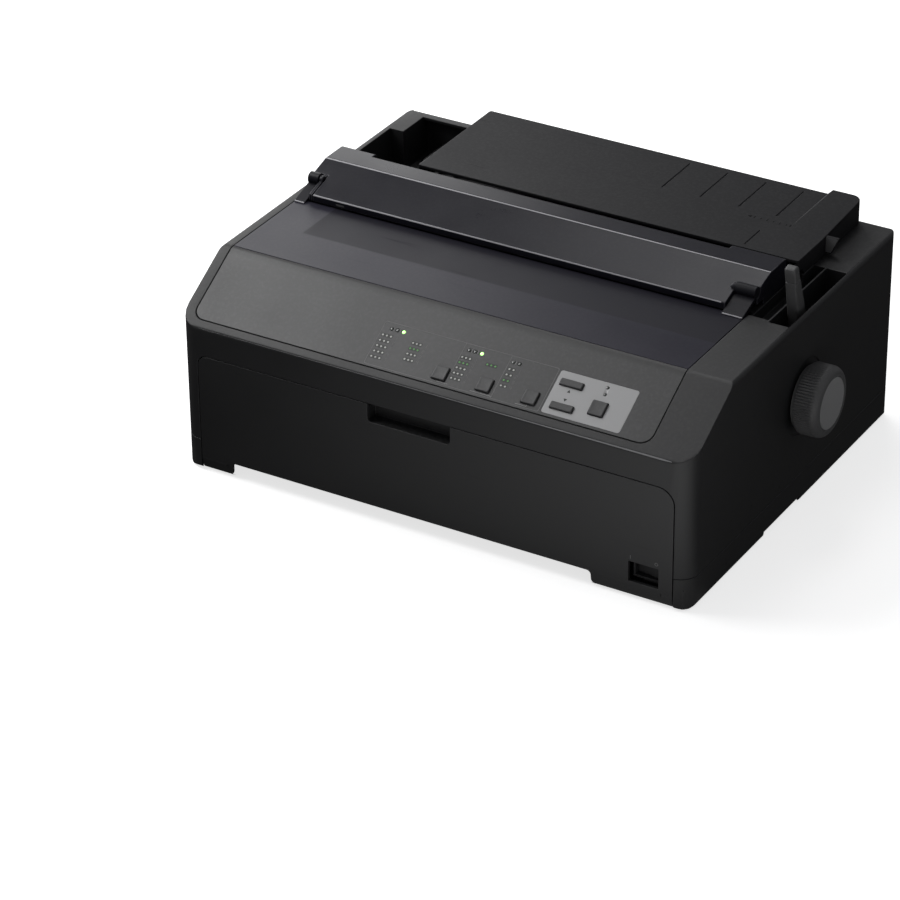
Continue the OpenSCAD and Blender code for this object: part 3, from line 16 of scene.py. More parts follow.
import bmesh
import bpy
import numpy as np
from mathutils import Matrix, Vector

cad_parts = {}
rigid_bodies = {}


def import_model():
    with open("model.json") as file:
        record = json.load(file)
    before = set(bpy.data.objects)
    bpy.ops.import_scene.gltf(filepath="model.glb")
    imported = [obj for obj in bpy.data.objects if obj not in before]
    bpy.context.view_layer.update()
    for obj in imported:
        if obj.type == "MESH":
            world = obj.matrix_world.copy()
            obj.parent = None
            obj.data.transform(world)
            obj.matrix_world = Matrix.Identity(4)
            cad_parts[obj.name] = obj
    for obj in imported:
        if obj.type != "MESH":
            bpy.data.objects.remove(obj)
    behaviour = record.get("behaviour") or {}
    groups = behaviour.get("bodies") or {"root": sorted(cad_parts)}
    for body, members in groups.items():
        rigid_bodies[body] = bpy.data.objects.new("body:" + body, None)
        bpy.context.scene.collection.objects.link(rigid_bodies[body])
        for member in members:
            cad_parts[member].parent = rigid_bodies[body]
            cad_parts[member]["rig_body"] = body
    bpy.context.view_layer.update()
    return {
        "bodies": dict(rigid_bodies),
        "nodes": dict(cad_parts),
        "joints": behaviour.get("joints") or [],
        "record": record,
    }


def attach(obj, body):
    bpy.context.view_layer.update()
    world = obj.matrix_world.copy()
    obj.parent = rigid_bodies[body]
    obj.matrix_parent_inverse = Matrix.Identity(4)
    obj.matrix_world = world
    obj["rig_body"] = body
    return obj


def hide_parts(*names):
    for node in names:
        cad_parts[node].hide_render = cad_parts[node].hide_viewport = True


LOG = logging.getLogger("printer")
MM = 0.001
ROW_SHIFT = -11.0
FRONT_Y = -159.0
SLOPE_Z = 115.5
SLOPE = math.radians(30.6)
Colour = tuple[float, float, float]
Span = tuple[float, float]


class Body(str, Enum):
    """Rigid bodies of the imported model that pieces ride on."""

    CASE = "case"
    DOOR = "front_door"
    LID = "lid"
    RIDGE = "ridge"
    GUIDE = "guide"
    PLATEN = "platen"
    LEVER = "paper_release"


# ---------------------------------------------------------------- places and rings


def to_row(points: np.ndarray) -> np.ndarray:
    """Turns case-frame millimetres into row-frame metres: shift X by -11, then times 0.001.

    Args:
        points: Array whose last axis is X, Y, Z.

    Returns:
        The same array in metres.
    """
    return (np.asarray(points, float) + (ROW_SHIFT, 0.0, 0.0)) * MM


def on_slope(x: np.ndarray | float, s: np.ndarray | float, n: np.ndarray | float) -> np.ndarray:
    """Places points on the sloping panel.

    Y is the front plus s cos(slope) less n sin(slope); Z is the lower edge plus s sin(slope)
    plus n cos(slope).

    Args:
        x: Position across the panel.
        s: Distance up the slope from its lower edge.
        n: Height out of the panel's face.

    Returns:
        Points with X, Y, Z on the last axis.
    """
    x, s, n = np.broadcast_arrays(x, s, n)
    y = FRONT_Y + s * math.cos(SLOPE) - n * math.sin(SLOPE)
    z = SLOPE_Z + s * math.sin(SLOPE) + n * math.cos(SLOPE)
    return np.stack([x, y, z], -1)


def rounded_ring(half_w: float, half_h: float, radius: float, arc: int = 6) -> np.ndarray:
    """Outline of a rounded rectangle, counter-clockwise: a quarter arc about each corner centre.

    Args:
        half_w: Half width.
        half_h: Half height.
        radius: Corner radius.
        arc: Points in each quarter arc.

    Returns:
        (4 * arc, 2) points.
    """
    turn = np.radians(np.arange(4)[:, None] * 90.0 + np.linspace(0.0, 90.0, arc)[None])
    cx = np.array([1, -1, -1, 1])[:, None] * (half_w - radius)
    cy = np.array([1, 1, -1, -1])[:, None] * (half_h - radius)
    return np.stack([cx + radius * np.cos(turn), cy + radius * np.sin(turn)], -1).reshape(-1, 2)


def stadium_ring(start: Span, end: Span, width: float, arc: int = 7) -> np.ndarray:
    """Outline of a stroke with round ends: a half circle about each end of the line.

    Args:
        start: First end of the stroke's middle line.
        end: Other end.
        width: Stroke width.
        arc: Points in each half circle.

    Returns:
        (2 * arc, 2) points.
    """
    a, b = np.array(start, float), np.array(end, float)
    heading = math.atan2(b[1] - a[1], b[0] - a[0])
    turn = np.linspace(-math.pi / 2, math.pi / 2, arc) + heading
    cap = np.stack([np.cos(turn), np.sin(turn)], -1) * width / 2
    return np.concatenate([b + cap, a - cap])


def circle_ring(radius: float, count: int = 24) -> np.ndarray:
    """Points of a circle about zero, counter-clockwise."""
    turn = np.linspace(0.0, 2 * math.pi, count, endpoint=False)
    return np.stack([np.cos(turn), np.sin(turn)], -1) * radius


def lying(ring: np.ndarray, z: float) -> np.ndarray:
    """Lays an (X, Y) outline flat at height `z`."""
    return np.insert(ring, 2, z, axis=1)


def standing(ring: np.ndarray, y: float) -> np.ndarray:
    """Stands an (X, Z) outline upright at `y`."""
    return np.insert(ring, 1, y, axis=1)


def on_panel(ring: np.ndarray, levels: Sequence[float], centre: Span = (0.0, 0.0)) -> list[np.ndarray]:
    """Puts an outline on the sloping panel, once at each height out of its face."""
    return [on_slope(*(ring + centre).T, level) for level in levels]


def raised(outer: np.ndarray, inner: np.ndarray, rise: Span) -> tuple[tuple[np.ndarray, float], ...]:
    """Pairs two outlines with the low and high levels of the band that lies between them."""
    return (outer, rise[0]), (outer, rise[1]), (inner, rise[1]), (inner, rise[0])


# ---------------------------------------------------------------- surfaces


def quads_of(index: np.ndarray) -> list[list[int]]:
    """Lists the faces between neighbours in a grid of point numbers."""
    corners = [index[:-1, :-1], index[1:, :-1], index[1:, 1:], index[:-1, 1:]]
    return np.stack(corners, -1).reshape(-1, 4).tolist()


def place_object(name: str, data: bpy.types.ID) -> bpy.types.Object:
    """Makes an object for the data and links it into the scene.

    Args:
        name: Name of the object.
        data: Its mesh, lamp or camera.

    Returns:
        The object.
    """
    obj = bpy.data.objects.new(name, data)
    bpy.context.scene.collection.objects.link(obj)
    return obj


@dataclass
class Surface:
    """Quads and end faces gathered from several grids of points, in case-frame millimetres."""

    points: list[np.ndarray] = field(default_factory=list)
    faces: list[list[int]] = field(default_factory=list)
    count: int = 0

    def grid(self, pts: np.ndarray, wrap_u: bool = False) -> Surface:
        """Adds a grid of points as quads.

        Args:
            pts: (u, v, 3) points; v runs round the piece, u along it.
            wrap_u: Join the last row to the first; otherwise each of them gets one end face.

        Returns:
            This surface, so that calls can be chained.
        """
        nu, nv = pts.shape[:2]
        index = np.arange(nu * nv).reshape(nu, nv) + self.count
        rows = np.vstack([index, index[:1]]) if wrap_u else index
        self.faces += quads_of(np.hstack([rows, rows[:, :1]]))
        if not wrap_u:
            self.faces += [index[0].tolist(), index[-1, ::-1].tolist()]
        self.points.append(pts.reshape(-1, 3))
        self.count += nu * nv
        return self

    def loft(self, rings: Sequence[np.ndarray]) -> Surface:
        """Adds a closed body through rings of equal length."""
        return self.grid(np.stack(rings))

    def build(self, name: str, crease: float = 32.0) -> bpy.types.Object:
        """Makes the mesh object with faces pointing outwards.

        Args:
            name: Name of the object and its mesh.
            crease: Angle in degrees above which an edge stays sharp.

        Returns:
            The object, at the origin and unscaled.
        """
        mesh = bpy.data.meshes.new(name)
        mesh.from_pydata(to_row(np.concatenate(self.points)).tolist(), [], self.faces)
        shell = bmesh.new()
        shell.from_mesh(mesh)
        bmesh.ops.recalc_face_normals(shell, faces=shell.faces[:])
        shell.to_mesh(mesh)
        shell.free()
        mesh.shade_smooth()
        mesh.set_sharp_from_angle(angle=math.radians(crease))
        return place_object(name, mesh)


def revolve_x(profile: np.ndarray, centre: Span, ribs: int = 0, depth: float = 0.0,
              per_rib: int = 6) -> np.ndarray:
    """Turns a profile about an axis along X.

    The radius at angle t is the profile's radius less depth * weight * (0.5 - 0.5 cos(ribs t)).

    Args:
        profile: (k, 3) rows of X, radius and rib weight.
        centre: Y and Z of the axis.
        ribs: Ribs round the rim.
        depth: Depth of the grooves between ribs.
        per_rib: Points round each rib.

    Returns:
        (k, m, 3) grid of points.
    """
    count = ribs * per_rib if ribs else 96
    turn = np.linspace(0.0, 2 * math.pi, count, endpoint=False)
    wave = 0.5 - 0.5 * np.cos(ribs * turn) if ribs else np.zeros(count)
    radius = profile[:, 1, None] - depth * profile[:, 2, None] * wave[None]
    x = np.repeat(profile[:, 0, None], count, 1)
    return np.stack([x, centre[0] + radius * np.cos(turn), centre[1] + radius * np.sin(turn)], -1)


def bead(place: Span, places: Sequence[float], widths: Sequence[float], tilt: float) -> list[np.ndarray]:
    """Rings of a flat bead along X: ellipses of half height 0.1 turned by the tilt.

    Args:
        place: Y and Z of the bead's middle.
        places: X of each ring.
        widths: Width of the bead at each ring.
        tilt: Turn of the ellipse in degrees.

    Returns:
        The rings.
    """
    turn, lean = np.linspace(0.0, 2 * math.pi, 12, endpoint=False), math.radians(tilt)
    rings = []
    for x, width in zip(places, widths):
        along, off = width / 2 * np.cos(turn), 0.1 * np.sin(turn)
        y = place[0] + along * math.cos(lean) - off * math.sin(lean)
        z = place[1] + along * math.sin(lean) + off * math.cos(lean)
        rings.append(np.column_stack([np.full(len(turn), x), y, z]))
    return rings


def studs(spots: Sequence[Span], radius: float, count: int, levels: Sequence[Span]) -> Surface:
    """Makes round bodies on the sloping panel.

    Args:
        spots: Middle of each body, across and up the panel.
        radius: Full radius.
        count: Points round each body.
        levels: Height out of the face and share of the radius at each ring.

    Returns:
        The bodies in one surface.
    """
    bodies = Surface()
    for spot in spots:
        bodies.loft([on_slope(*(circle_ring(radius * share, count) + spot).T, n) for n, share in levels])
    return bodies


# ---------------------------------------------------------------- shader wiring


class Wiring:
    """Adds shader nodes to a tree and links them by socket name."""

    def __init__(self, tree: bpy.types.NodeTree) -> None:
        """Keeps the tree to work on."""
        self.tree = tree

    def add(self, kind: str, props: dict[str, Any] | None = None, **inputs: Any) -> bpy.types.Node:
        """Adds a node.

        Args:
            kind: Node type without the leading ShaderNode.
            props: Attributes to set on the node.
            **inputs: What `fill` takes.

        Returns:
            The node.
        """
        node = self.tree.nodes.new(kind if kind.startswith("Node") else "ShaderNode" + kind)
        for key, value in (props or {}).items():
            setattr(node, key, value)
        return self.fill(node, **inputs)

    def fill(self, node: bpy.types.Node, **inputs: Any) -> bpy.types.Node:
        """Links or sets the inputs of a node.

        Args:
            node: The node.
            **inputs: Values or sockets; underscores stand for spaces, and `_2` for input number 2.

        Returns:
            The same node.
        """
        for key, value in inputs.items():
            socket = node.inputs[int(key[1:]) if key[0] == "_" else key.replace("_", " ")]
            if isinstance(value, bpy.types.NodeSocket):
                self.tree.links.new(value, socket)
            else:
                socket.default_value = value
        return node

    def math(self, operation: str, a: Any, b: Any, clamp: bool = False) -> bpy.types.NodeSocket:
        """Adds a Math node and returns its result."""
        return self.add("Math", {"operation": operation, "use_clamp": clamp}, _0=a, _1=b).outputs[0]

    def times(self, a: Any, b: Any) -> bpy.types.NodeSocket:
        """Multiplies two values."""
        return self.math("MULTIPLY", a, b)

    def line(self, a: Any, slope: float, start: Any, clamp: bool = False) -> bpy.types.NodeSocket:
        """Multiplies a value by the slope and adds the start."""
        return self.math("ADD", start, self.times(a, slope), clamp)

    def blend(self, share: Any, a: Any, b: Any) -> bpy.types.NodeSocket:
        """Mixes two colours, `share` of the second; plain colours get an alpha of 1."""
        a, b = ((*shade, 1.0) if isinstance(shade, tuple) else shade for shade in (a, b))
        return self.add("Mix", {"data_type": "RGBA"}, _0=share, _6=a, _7=b).outputs[2]

    def band(self, value: Any, low: float, high: float) -> bpy.types.NodeSocket:
        """Maps low..high to 0..1, clamped."""
        return self.add("MapRange", {"clamp": True}, _0=value, _1=low, _2=high).outputs[0]


def shader_group(name: str, inputs: dict[str, float | None],
                 outputs: dict[str, str]) -> tuple[Wiring, bpy.types.Node, bpy.types.Node]:
    """Makes an empty shader group with named sockets.

    Args:
        name: Group name.
        inputs: Default of each input; one without a default takes a vector.
        outputs: Kind of each output.

    Returns:
        The group's wiring, its input node and its output node.
    """
    tree = bpy.data.node_groups.new(name, "ShaderNodeTree")
    for label, default in inputs.items():
        kind = "NodeSocketVector" if default is None else "NodeSocketFloat"
        socket = tree.interface.new_socket(label, in_out="INPUT", socket_type=kind)
        if default is not None:
            socket.default_value = default
    for label, kind in outputs.items():
        tree.interface.new_socket(label, in_out="OUTPUT", socket_type="NodeSocket" + kind)
    wires = Wiring(tree)
    return wires, wires.add("NodeGroupInput"), wires.add("NodeGroupOutput")


def grain_group() -> bpy.types.NodeTree:
    """Moulded grain: fine noise plus smaller cells drive a bump; Speck is the raw height.

    Returns:
        The group.
    """
    w, start, end = shader_group("moulded_grain", {"Vector": None, "Scale": 2000.0, "Depth": 2e-5},
                                 {"Normal": "Vector", "Speck": "Float"})
    place, scale, depth = start.outputs[0], start.outputs[1], start.outputs[2]
    noise = w.add("TexNoise", Vector=place, Scale=scale, Detail=3.0, Roughness=0.6)
    cells = w.add("TexVoronoi", Vector=place, Scale=w.times(scale, 1.7))
    speck = w.line(cells.outputs[0], 0.3, w.times(noise.outputs[0], 0.7))
    bump = w.add("Bump", Strength=1.0, Distance=depth, Height=speck)
    w.fill(end, Normal=bump.outputs[0], Speck=speck)
    return w.tree


def handling_group() -> bpy.types.NodeTree:
    """Traces of use: Mottle is slow cloudiness, Dust lies on what faces up, Scuff is fine streaks.

    Returns:
        The group.
    """
    w, start, end = shader_group("handling", {"Vector": None},
                                 {"Mottle": "Float", "Dust": "Float", "Scuff": "Float"})
    place = start.outputs[0]
    slow = w.add("TexNoise", Vector=place, Scale=16.0, Detail=4.0, Roughness=0.55).outputs[0]
    fine = w.add("TexNoise", Vector=place, Scale=420.0, Detail=2.0).outputs[0]
    up = w.add("SeparateXYZ", Vector=w.add("NewGeometry").outputs["Normal"]).outputs[2]
    stretched = w.add("Mapping", Vector=place, Scale=(14.0, 260.0, 260.0), Rotation=(0.3, 0.2, 0.5))
    streak = w.add("TexNoise", Vector=stretched.outputs[0], Scale=1.0, Detail=2.0).outputs[0]
    w.fill(end, Mottle=w.band(slow, 0.3, 0.7),
           Dust=w.times(w.band(up, 0.35, 1.0), w.band(fine, 0.45, 0.75)),
           Scuff=w.times(w.band(streak, 0.66, 0.74), w.band(slow, 0.45, 0.7)))
    return w.tree


def rim_group() -> bpy.types.NodeTree:
    """Rims lightened partly for wear and partly as a painted highlight: the corner attribute `rim`, broken up
    by noise.

    Returns:
        The group.
    """
    w, start, end = shader_group("worn_rim", {"Vector": None}, {"Wear": "Float"})
    rim = w.add("Attribute", {"attribute_name": "rim"}).outputs["Fac"]
    patch = w.add("TexNoise", Vector=start.outputs[0], Scale=130.0, Detail=3.0)
    w.fill(end, Wear=w.times(rim, w.band(patch.outputs[0], 0.3, 0.65)))
    return w.tree


class Dressing(Wiring):
    """Wiring of one material: its shader, the piece's own coordinates and the shared effects."""

    def __init__(self, tree: bpy.types.NodeTree, groups: dict[str, bpy.types.NodeTree]) -> None:
        """Finds the shader and adds the coordinates.

        Args:
            tree: The material's tree.
            groups: The shared shader groups by name.
        """
        super().__init__(tree)
        self.shader, self.groups = tree.nodes["Principled BSDF"], groups
        self.place = self.add("TexCoord").outputs["Object"]

    def effect(self, name: str, **inputs: Any) -> bpy.types.Node:
        """Adds a shared effect at the piece's coordinates."""
        return self.add("Group", {"node_tree": self.groups[name]}, Vector=self.place, **inputs)

    def between(self, axis: int, low: float, high: float) -> bpy.types.NodeSocket:
        """Rises from 0 to 1 as a coordinate of the row frame goes from low to high millimetres."""
        return self.band(self.add("SeparateXYZ", Vector=self.place).outputs[axis], low * MM, high * MM)

    def feed(self, **inputs: Any) -> None:
        """Feeds the shader's inputs."""
        self.fill(self.shader, **inputs)

    def fed(self, name: str) -> bpy.types.NodeSocket:
        """Returns what feeds an input of the shader."""
        return self.shader.inputs[name].links[0].from_socket


# ---------------------------------------------------------------- finishes


@dataclass(frozen=True)
class Finish:
    """What every finish has: a name, a colour and the record's material slot."""

    name: str
    slot: str
    colour: Colour
    roughness: float = 0.5

    def material(self, groups: dict[str, bpy.types.NodeTree]) -> bpy.types.Material:
        """Builds the material.

        Args:
            groups: The shared shader groups by name.

        Returns:
            The finished material.
        """
        mat = bpy.data.materials.new(self.name)
        mat.use_nodes = True
        mat.diffuse_color = (*self.colour, 1.0)
        self.wire(Dressing(mat.node_tree, groups))
        return mat

    def tone(self, factor: float, lift: float = 0.0) -> Colour:
        """Multiplies the colour and adds the lift, up to 1."""
        return tuple(min(1.0, c * factor + lift) for c in self.colour)

    def wire(self, w: Dressing) -> None:
        """Feeds the shader; each kind of finish has its own."""
        raise NotImplementedError


@dataclass(frozen=True)
class MouldedPlastic(Finish):
    """Moulded plastic with grain, faint cloudiness, dust on top faces and lighter rims, partly wear and
    partly a painted highlight.
    """

    grain: float = 2200.0
    depth: float = 1.6e-5
    dust: float = 0.10
    # rim and wear set the lighter rims: partly wear, partly a painted highlight along the edges.
    rim: float = 0.5
    wear: float = 0.012
    gloss: float = 0.5

    def wire(self, w: Dressing) -> None:
        """Base colour gets cloudiness, dust and rims; roughness follows cloudiness, grain and scuffs.

        Args:
            w: Wiring of the material.
        """
        grain, use = w.effect("grain", Scale=self.grain, Depth=self.depth), w.effect("handling")
        mottle, worn_and_highlit = use.outputs["Mottle"], w.effect("rim").outputs["Wear"]
        colour = w.blend(w.times(mottle, 0.5), self.colour, self.tone(1.35, 0.002))
        colour = w.blend(w.times(use.outputs["Dust"], self.dust), colour, (0.2, 0.2, 0.2))
        # Lighter rims: partly wear, partly a painted highlight along the rounded edges.
        colour = w.blend(w.times(worn_and_highlit, self.rim), colour, self.tone(2.2, self.wear))
        rough = w.line(mottle, 0.07, self.roughness - 0.035)
        rough = w.line(grain.outputs["Speck"], 0.06, rough)
        rough = w.line(use.outputs["Scuff"], 0.12, rough, clamp=True)
        w.feed(Base_Color=colour, Roughness=rough, Normal=grain.outputs["Normal"],
               Specular_IOR_Level=self.gloss)


@dataclass(frozen=True)
class ShadedPlastic(MouldedPlastic):
    """Moulded plastic with painted shade: it darkens towards its rear edge."""

    # Band in Y and colour of the painted shade along the rear edge.
    shade_y: Span = (-105.0, -99.5)
    shade_colour: Colour = (0.004, 0.004, 0.005)

    def wire(self, w: Dressing) -> None:
        """As moulded plastic, then the darker colour of the painted shade as Y rises through its band.

        Args:
            w: Wiring of the material.
        """
        super().wire(w)
        shade = w.times(w.between(1, *self.shade_y), 0.9)
        w.feed(Base_Color=w.blend(shade, w.fed("Base Color"), self.shade_colour))


@dataclass(frozen=True)
class SmokedPlastic(MouldedPlastic):
    """Smoky lid plastic: a frosted border and a clearer, darker window that starts behind the border."""

    window_left: float = -163.0
    window_front: float = -57.0
    window_blur: Span = (0.7, 0.9)
    window_colour: Colour = (0.008, 0.0076, 0.0125)
    arm_z: Span = (151.0, 151.3)
    arm_colour: Colour = (0.008, 0.0078, 0.0105)

    def wire(self, w: Dressing) -> None:
        """As moulded plastic, then the window by its left and front edge and the arms by their height.

        Args:
            w: Wiring of the material.
        """
        super().wire(w)
        left, front, (blur_x, blur_y) = self.window_left + ROW_SHIFT, self.window_front, self.window_blur
        inside = w.times(w.between(0, left - blur_x, left + blur_x),
                         w.between(1, front - blur_y, front + blur_y))
        streaks = w.add("TexWave", {"bands_direction": "X"}, Vector=w.place, Scale=160.0,
                        Distortion=1.5, Detail=2.0)
        tint = w.blend(w.times(streaks.outputs["Fac"], 0.2), self.window_colour, self.colour)
        pane = w.blend(w.times(inside, 0.85), w.fed("Base Color"), tint)
        arms = w.times(w.between(2, *self.arm_z), 0.8)
        w.feed(Base_Color=w.blend(arms, pane, self.arm_colour),
               Roughness=w.line(inside, 0.09, w.fed("Roughness")))


@dataclass(frozen=True)
class Rubber(Finish):
    """Soft rubber: coarse grain, almost no shine, paler where dust clings."""

    def wire(self, w: Dressing) -> None:
        """Base colour takes cloudiness and dust; the grain sets the bump and roughness.

        Args:
            w: Wiring of the material.
        """
        grain, use = w.effect("grain", Scale=1400.0, Depth=3e-5), w.effect("handling")
        colour = w.blend(w.times(use.outputs["Mottle"], 0.45), self.colour, self.tone(1.8, 0.01))
        colour = w.blend(w.times(use.outputs["Dust"], 0.2), colour, (0.25, 0.25, 0.24))
        w.feed(Base_Color=colour, Roughness=w.line(grain.outputs["Speck"], 0.14, self.roughness),
               Normal=grain.outputs["Normal"], Specular_IOR_Level=0.35)


class Lay(Enum):
    """Direction in which a metal was ground or rolled."""

    ALONG_X = (6.0, 900.0, 900.0)
    ALONG_Y = (900.0, 6.0, 900.0)
    ALONG_Z = (900.0, 900.0, 6.0)
    CAST = (700.0, 700.0, 700.0)


@dataclass(frozen=True)
class Metal(Finish):
    """Bare or plated metal with grinding lines along one axis and dull patches."""

    lay: Lay = Lay.ALONG_X
    metallic: float = 1.0

    def wire(self, w: Dressing) -> None:
        """Noise stretched along the lay gives lines in roughness and bump; dull patches lie over them.

        Args:
            w: Wiring of the material.
        """
        mottle = w.effect("handling").outputs["Mottle"]
        stretched = w.add("Mapping", Vector=w.place, Scale=self.lay.value)
        lines = w.add("TexNoise", Vector=stretched.outputs[0], Scale=1.0, Detail=3.0).outputs[0]
        rough = w.line(mottle, 0.1, w.line(lines, 0.16, self.roughness - 0.06), clamp=True)
        bump = w.add("Bump", Strength=0.5, Distance=8e-6, Height=lines)
        w.feed(Base_Color=w.blend(w.times(mottle, 0.5), self.colour, self.tone(0.72)), Roughness=rough,
               Normal=bump.outputs[0], Metallic=self.metallic)


@dataclass(frozen=True)
class SilverFilm(Finish):
    """Satin silver film: fine sparkle, faint streaks and a partly metallic base."""

    def wire(self, w: Dressing) -> None:
        """Sparkle lightens the colour; cloudiness moves the roughness.

        Args:
            w: Wiring of the material.
        """
        grain, use = w.effect("grain", Scale=3600.0, Depth=6e-6), w.effect("handling")
        w.feed(Base_Color=w.blend(grain.outputs["Speck"], self.colour, self.tone(1.16)),
               Roughness=w.line(use.outputs["Mottle"], 0.1, self.roughness),
               Normal=grain.outputs["Normal"], Metallic=0.25)


@dataclass(frozen=True)
class Ink(Finish):
    """Screen-printed ink: even colour with slightly uneven cover."""

    gloss: float = 0.5

    def wire(self, w: Dressing) -> None:
        """Fine noise thins the ink by up to a quarter.

        Args:
            w: Wiring of the material.
        """
        speck = w.effect("grain", Scale=2600.0, Depth=5e-6).outputs["Speck"]
        w.feed(Base_Color=w.blend(speck, self.colour, self.tone(0.75)),
               Roughness=w.line(speck, 0.1, self.roughness), Specular_IOR_Level=self.gloss)


@dataclass(frozen=True)
class Lamp(Finish):
    """Small clear lamp, lit or dark."""

    glow: float = 0.0

    def wire(self, w: Dressing) -> None:
        """Noise in the lens mottles the colour; a lit lamp emits it.

        Args:
            w: Wiring of the material.
        """
        cloud = w.add("TexNoise", Vector=w.place, Scale=900.0, Detail=2.0).outputs[0]
        colour = w.blend(cloud, self.colour, self.tone(0.8))
        w.feed(Base_Color=colour, Roughness=w.line(cloud, 0.1, self.roughness), Coat_Weight=0.6)
        if self.glow > 0:
            w.feed(Emission_Color=colour, Emission_Strength=self.glow)


@dataclass(frozen=True)
class CircuitBoard(Finish):
    """Solder-masked laminate: square-cornered tracks and round pads show through the mask."""

    def wire(self, w: Dressing) -> None:
        """Square cells give tracks, a dotted lattice gives pads; both raise the mask.

        Args:
            w: Wiring of the material.
        """
        square = {"distance": "CHEBYCHEV", "feature": "DISTANCE_TO_EDGE"}
        tracks = w.add("TexVoronoi", square, Vector=w.place, Scale=160.0)
        pads = w.add("TexVoronoi", Vector=w.place, Scale=390.0, Randomness=0.15)
        track = w.math("SUBTRACT", 1.0, w.band(tracks.outputs[0], 0.05, 0.09))
        dot = w.math("SUBTRACT", 1.0, w.band(pads.outputs[0], 0.16, 0.22))
        colour = w.blend(track, self.colour, self.tone(1.7, 0.01))
        bump = w.add("Bump", Strength=0.6, Distance=3e-5, Height=w.math("MAXIMUM", track, dot))
        w.feed(Base_Color=w.blend(w.times(dot, 0.8), colour, (0.55, 0.53, 0.45)),
               Roughness=w.line(dot, -0.12, self.roughness), Normal=bump.outputs[0])


class Finishes:
    """All finishes of the printer, by plain name."""

    CASE = MouldedPlastic("case_black", "black_case", (0.013, 0.013, 0.0138), 0.47, dust=0.05, gloss=0.46)
    # Painted highlight: a light grey for the bead along the case's brow edge.
    CASE_LINE = MouldedPlastic("case_polished", "black_case", (0.2, 0.2, 0.205), 0.3, dust=0.0, rim=0.0)
    COVER = MouldedPlastic("cover_black", "black_case", (0.0135, 0.0135, 0.0142), 0.46)
    # The panel's painted shade darkens it along its rear edge, next to the lid seam.
    PANEL = ShadedPlastic("panel_grey", "grey_panel", (0.034, 0.034, 0.0348), 0.42, grain=2600.0,
                          depth=1.0e-5)
    RIDGE = MouldedPlastic("ridge_grained", "smoke_lid", (0.010, 0.0096, 0.0145), 0.28, grain=1500.0,
                           depth=2.0e-5, dust=0.02, rim=0.9, wear=0.07, gloss=0.24)
    # Painted highlight: a light grey for the beads along the ridge's crest and lip and the lid arms' front
    # edges.
    RIDGE_LINE = MouldedPlastic("ridge_polished", "smoke_lid", (0.33, 0.325, 0.345), 0.3, dust=0.0, rim=0.0)
    LID = SmokedPlastic("lid_smoked", "smoke_lid", (0.019, 0.018, 0.028), 0.33, grain=2400.0, depth=0.8e-5,
                        dust=0.03, wear=0.03, gloss=0.18)
    GUIDE = MouldedPlastic("guide_black", "grey_panel", (0.009, 0.0089, 0.0102), 0.5, dust=0.04,
                           rim=0.12, gloss=0.2)
    TAB = MouldedPlastic("tab_grey", "key_grey", (0.10, 0.10, 0.102), 0.45)
    KEY = MouldedPlastic("key_grey", "key_grey", (0.035, 0.035, 0.036), 0.42, rim=0.7)
    KNOB = MouldedPlastic("knob_grey", "key_grey", (0.08, 0.08, 0.081), 0.5, rim=0.5)
    # Painted light: the knob's face in a lighter grey than the knob, as if lit from the front right.
    KNOB_FACE = MouldedPlastic("knob_face_grey", "key_grey", (0.27, 0.27, 0.272), 0.5)
    LEVER = MouldedPlastic("lever_grey", "key_grey", (0.06, 0.06, 0.061), 0.45, rim=0.7)
    INNER = MouldedPlastic("inner_black", "inner_black", (0.02, 0.02, 0.021), 0.55, grain=1500.0)
    GEAR = MouldedPlastic("gear_acetal", "gear_white", (0.72, 0.70, 0.63), 0.42, dust=0.1, rim=0.1,
                          grain=900.0)
    GREEN_LEVER = MouldedPlastic("lock_green", "lever_green", (0.08, 0.23, 0.17), 0.42)
    LAMINATE = MouldedPlastic("supply_laminate", "supply", (0.2, 0.15, 0.08), 0.6)
    RUBBER = Rubber("soft_rubber", "rubber", (0.018, 0.018, 0.018), 0.66)
    BELT = Rubber("belt_rubber", "belt", (0.022, 0.022, 0.022), 0.62)
    STEEL = Metal("ground_steel", "steel", (0.56, 0.57, 0.58), 0.26)
    SHEET = Metal("zinc_sheet", "sheet_steel", (0.60, 0.61, 0.63), 0.38, lay=Lay.ALONG_Y)
    BRASS = Metal("turned_brass", "brass", (0.72, 0.56, 0.28), 0.3)
    MOTOR = Metal("motor_can", "motor", (0.10, 0.10, 0.11), 0.42, lay=Lay.ALONG_Z, metallic=0.6)
    HEAD = Metal("head_casting", "head_alloy", (0.24, 0.24, 0.25), 0.48, lay=Lay.CAST)
    FILM = SilverFilm("silver_film", "silver_label", (0.30, 0.30, 0.303), 0.42)
    PALE_INK = Ink("pale_ink", "silver_label", (0.30, 0.30, 0.30), 0.5)
    LINE_INK = Ink("line_ink", "silver_label", (0.14, 0.14, 0.14), 0.5)
    DARK_INK = Ink("dark_ink", "inner_black", (0.018, 0.02, 0.018), 0.5)
    # Black print and dark seams, and also the painted shade line behind the ridge's crest.
    BLACK_INK = Ink("black_ink", "inner_black", (0.003, 0.003, 0.003), 0.7, 0.15)
    DOT_INK = Ink("dot_ink", "silver_label", (0.62, 0.63, 0.6), 0.5)
    GREEN_DOT = Ink("green_dot", "lamp", (0.12, 0.4, 0.1), 0.45)
    LIT_LAMP = Lamp("lamp_lit", "lamp", (0.45, 1.0, 0.28), 0.3, glow=2.2)
    DARK_LAMP = Lamp("lamp_dark", "lamp", (0.045, 0.05, 0.045), 0.25)
    BOARD = CircuitBoard("solder_mask", "circuit", (0.02, 0.11, 0.05), 0.4)


# ---------------------------------------------------------------- workshop


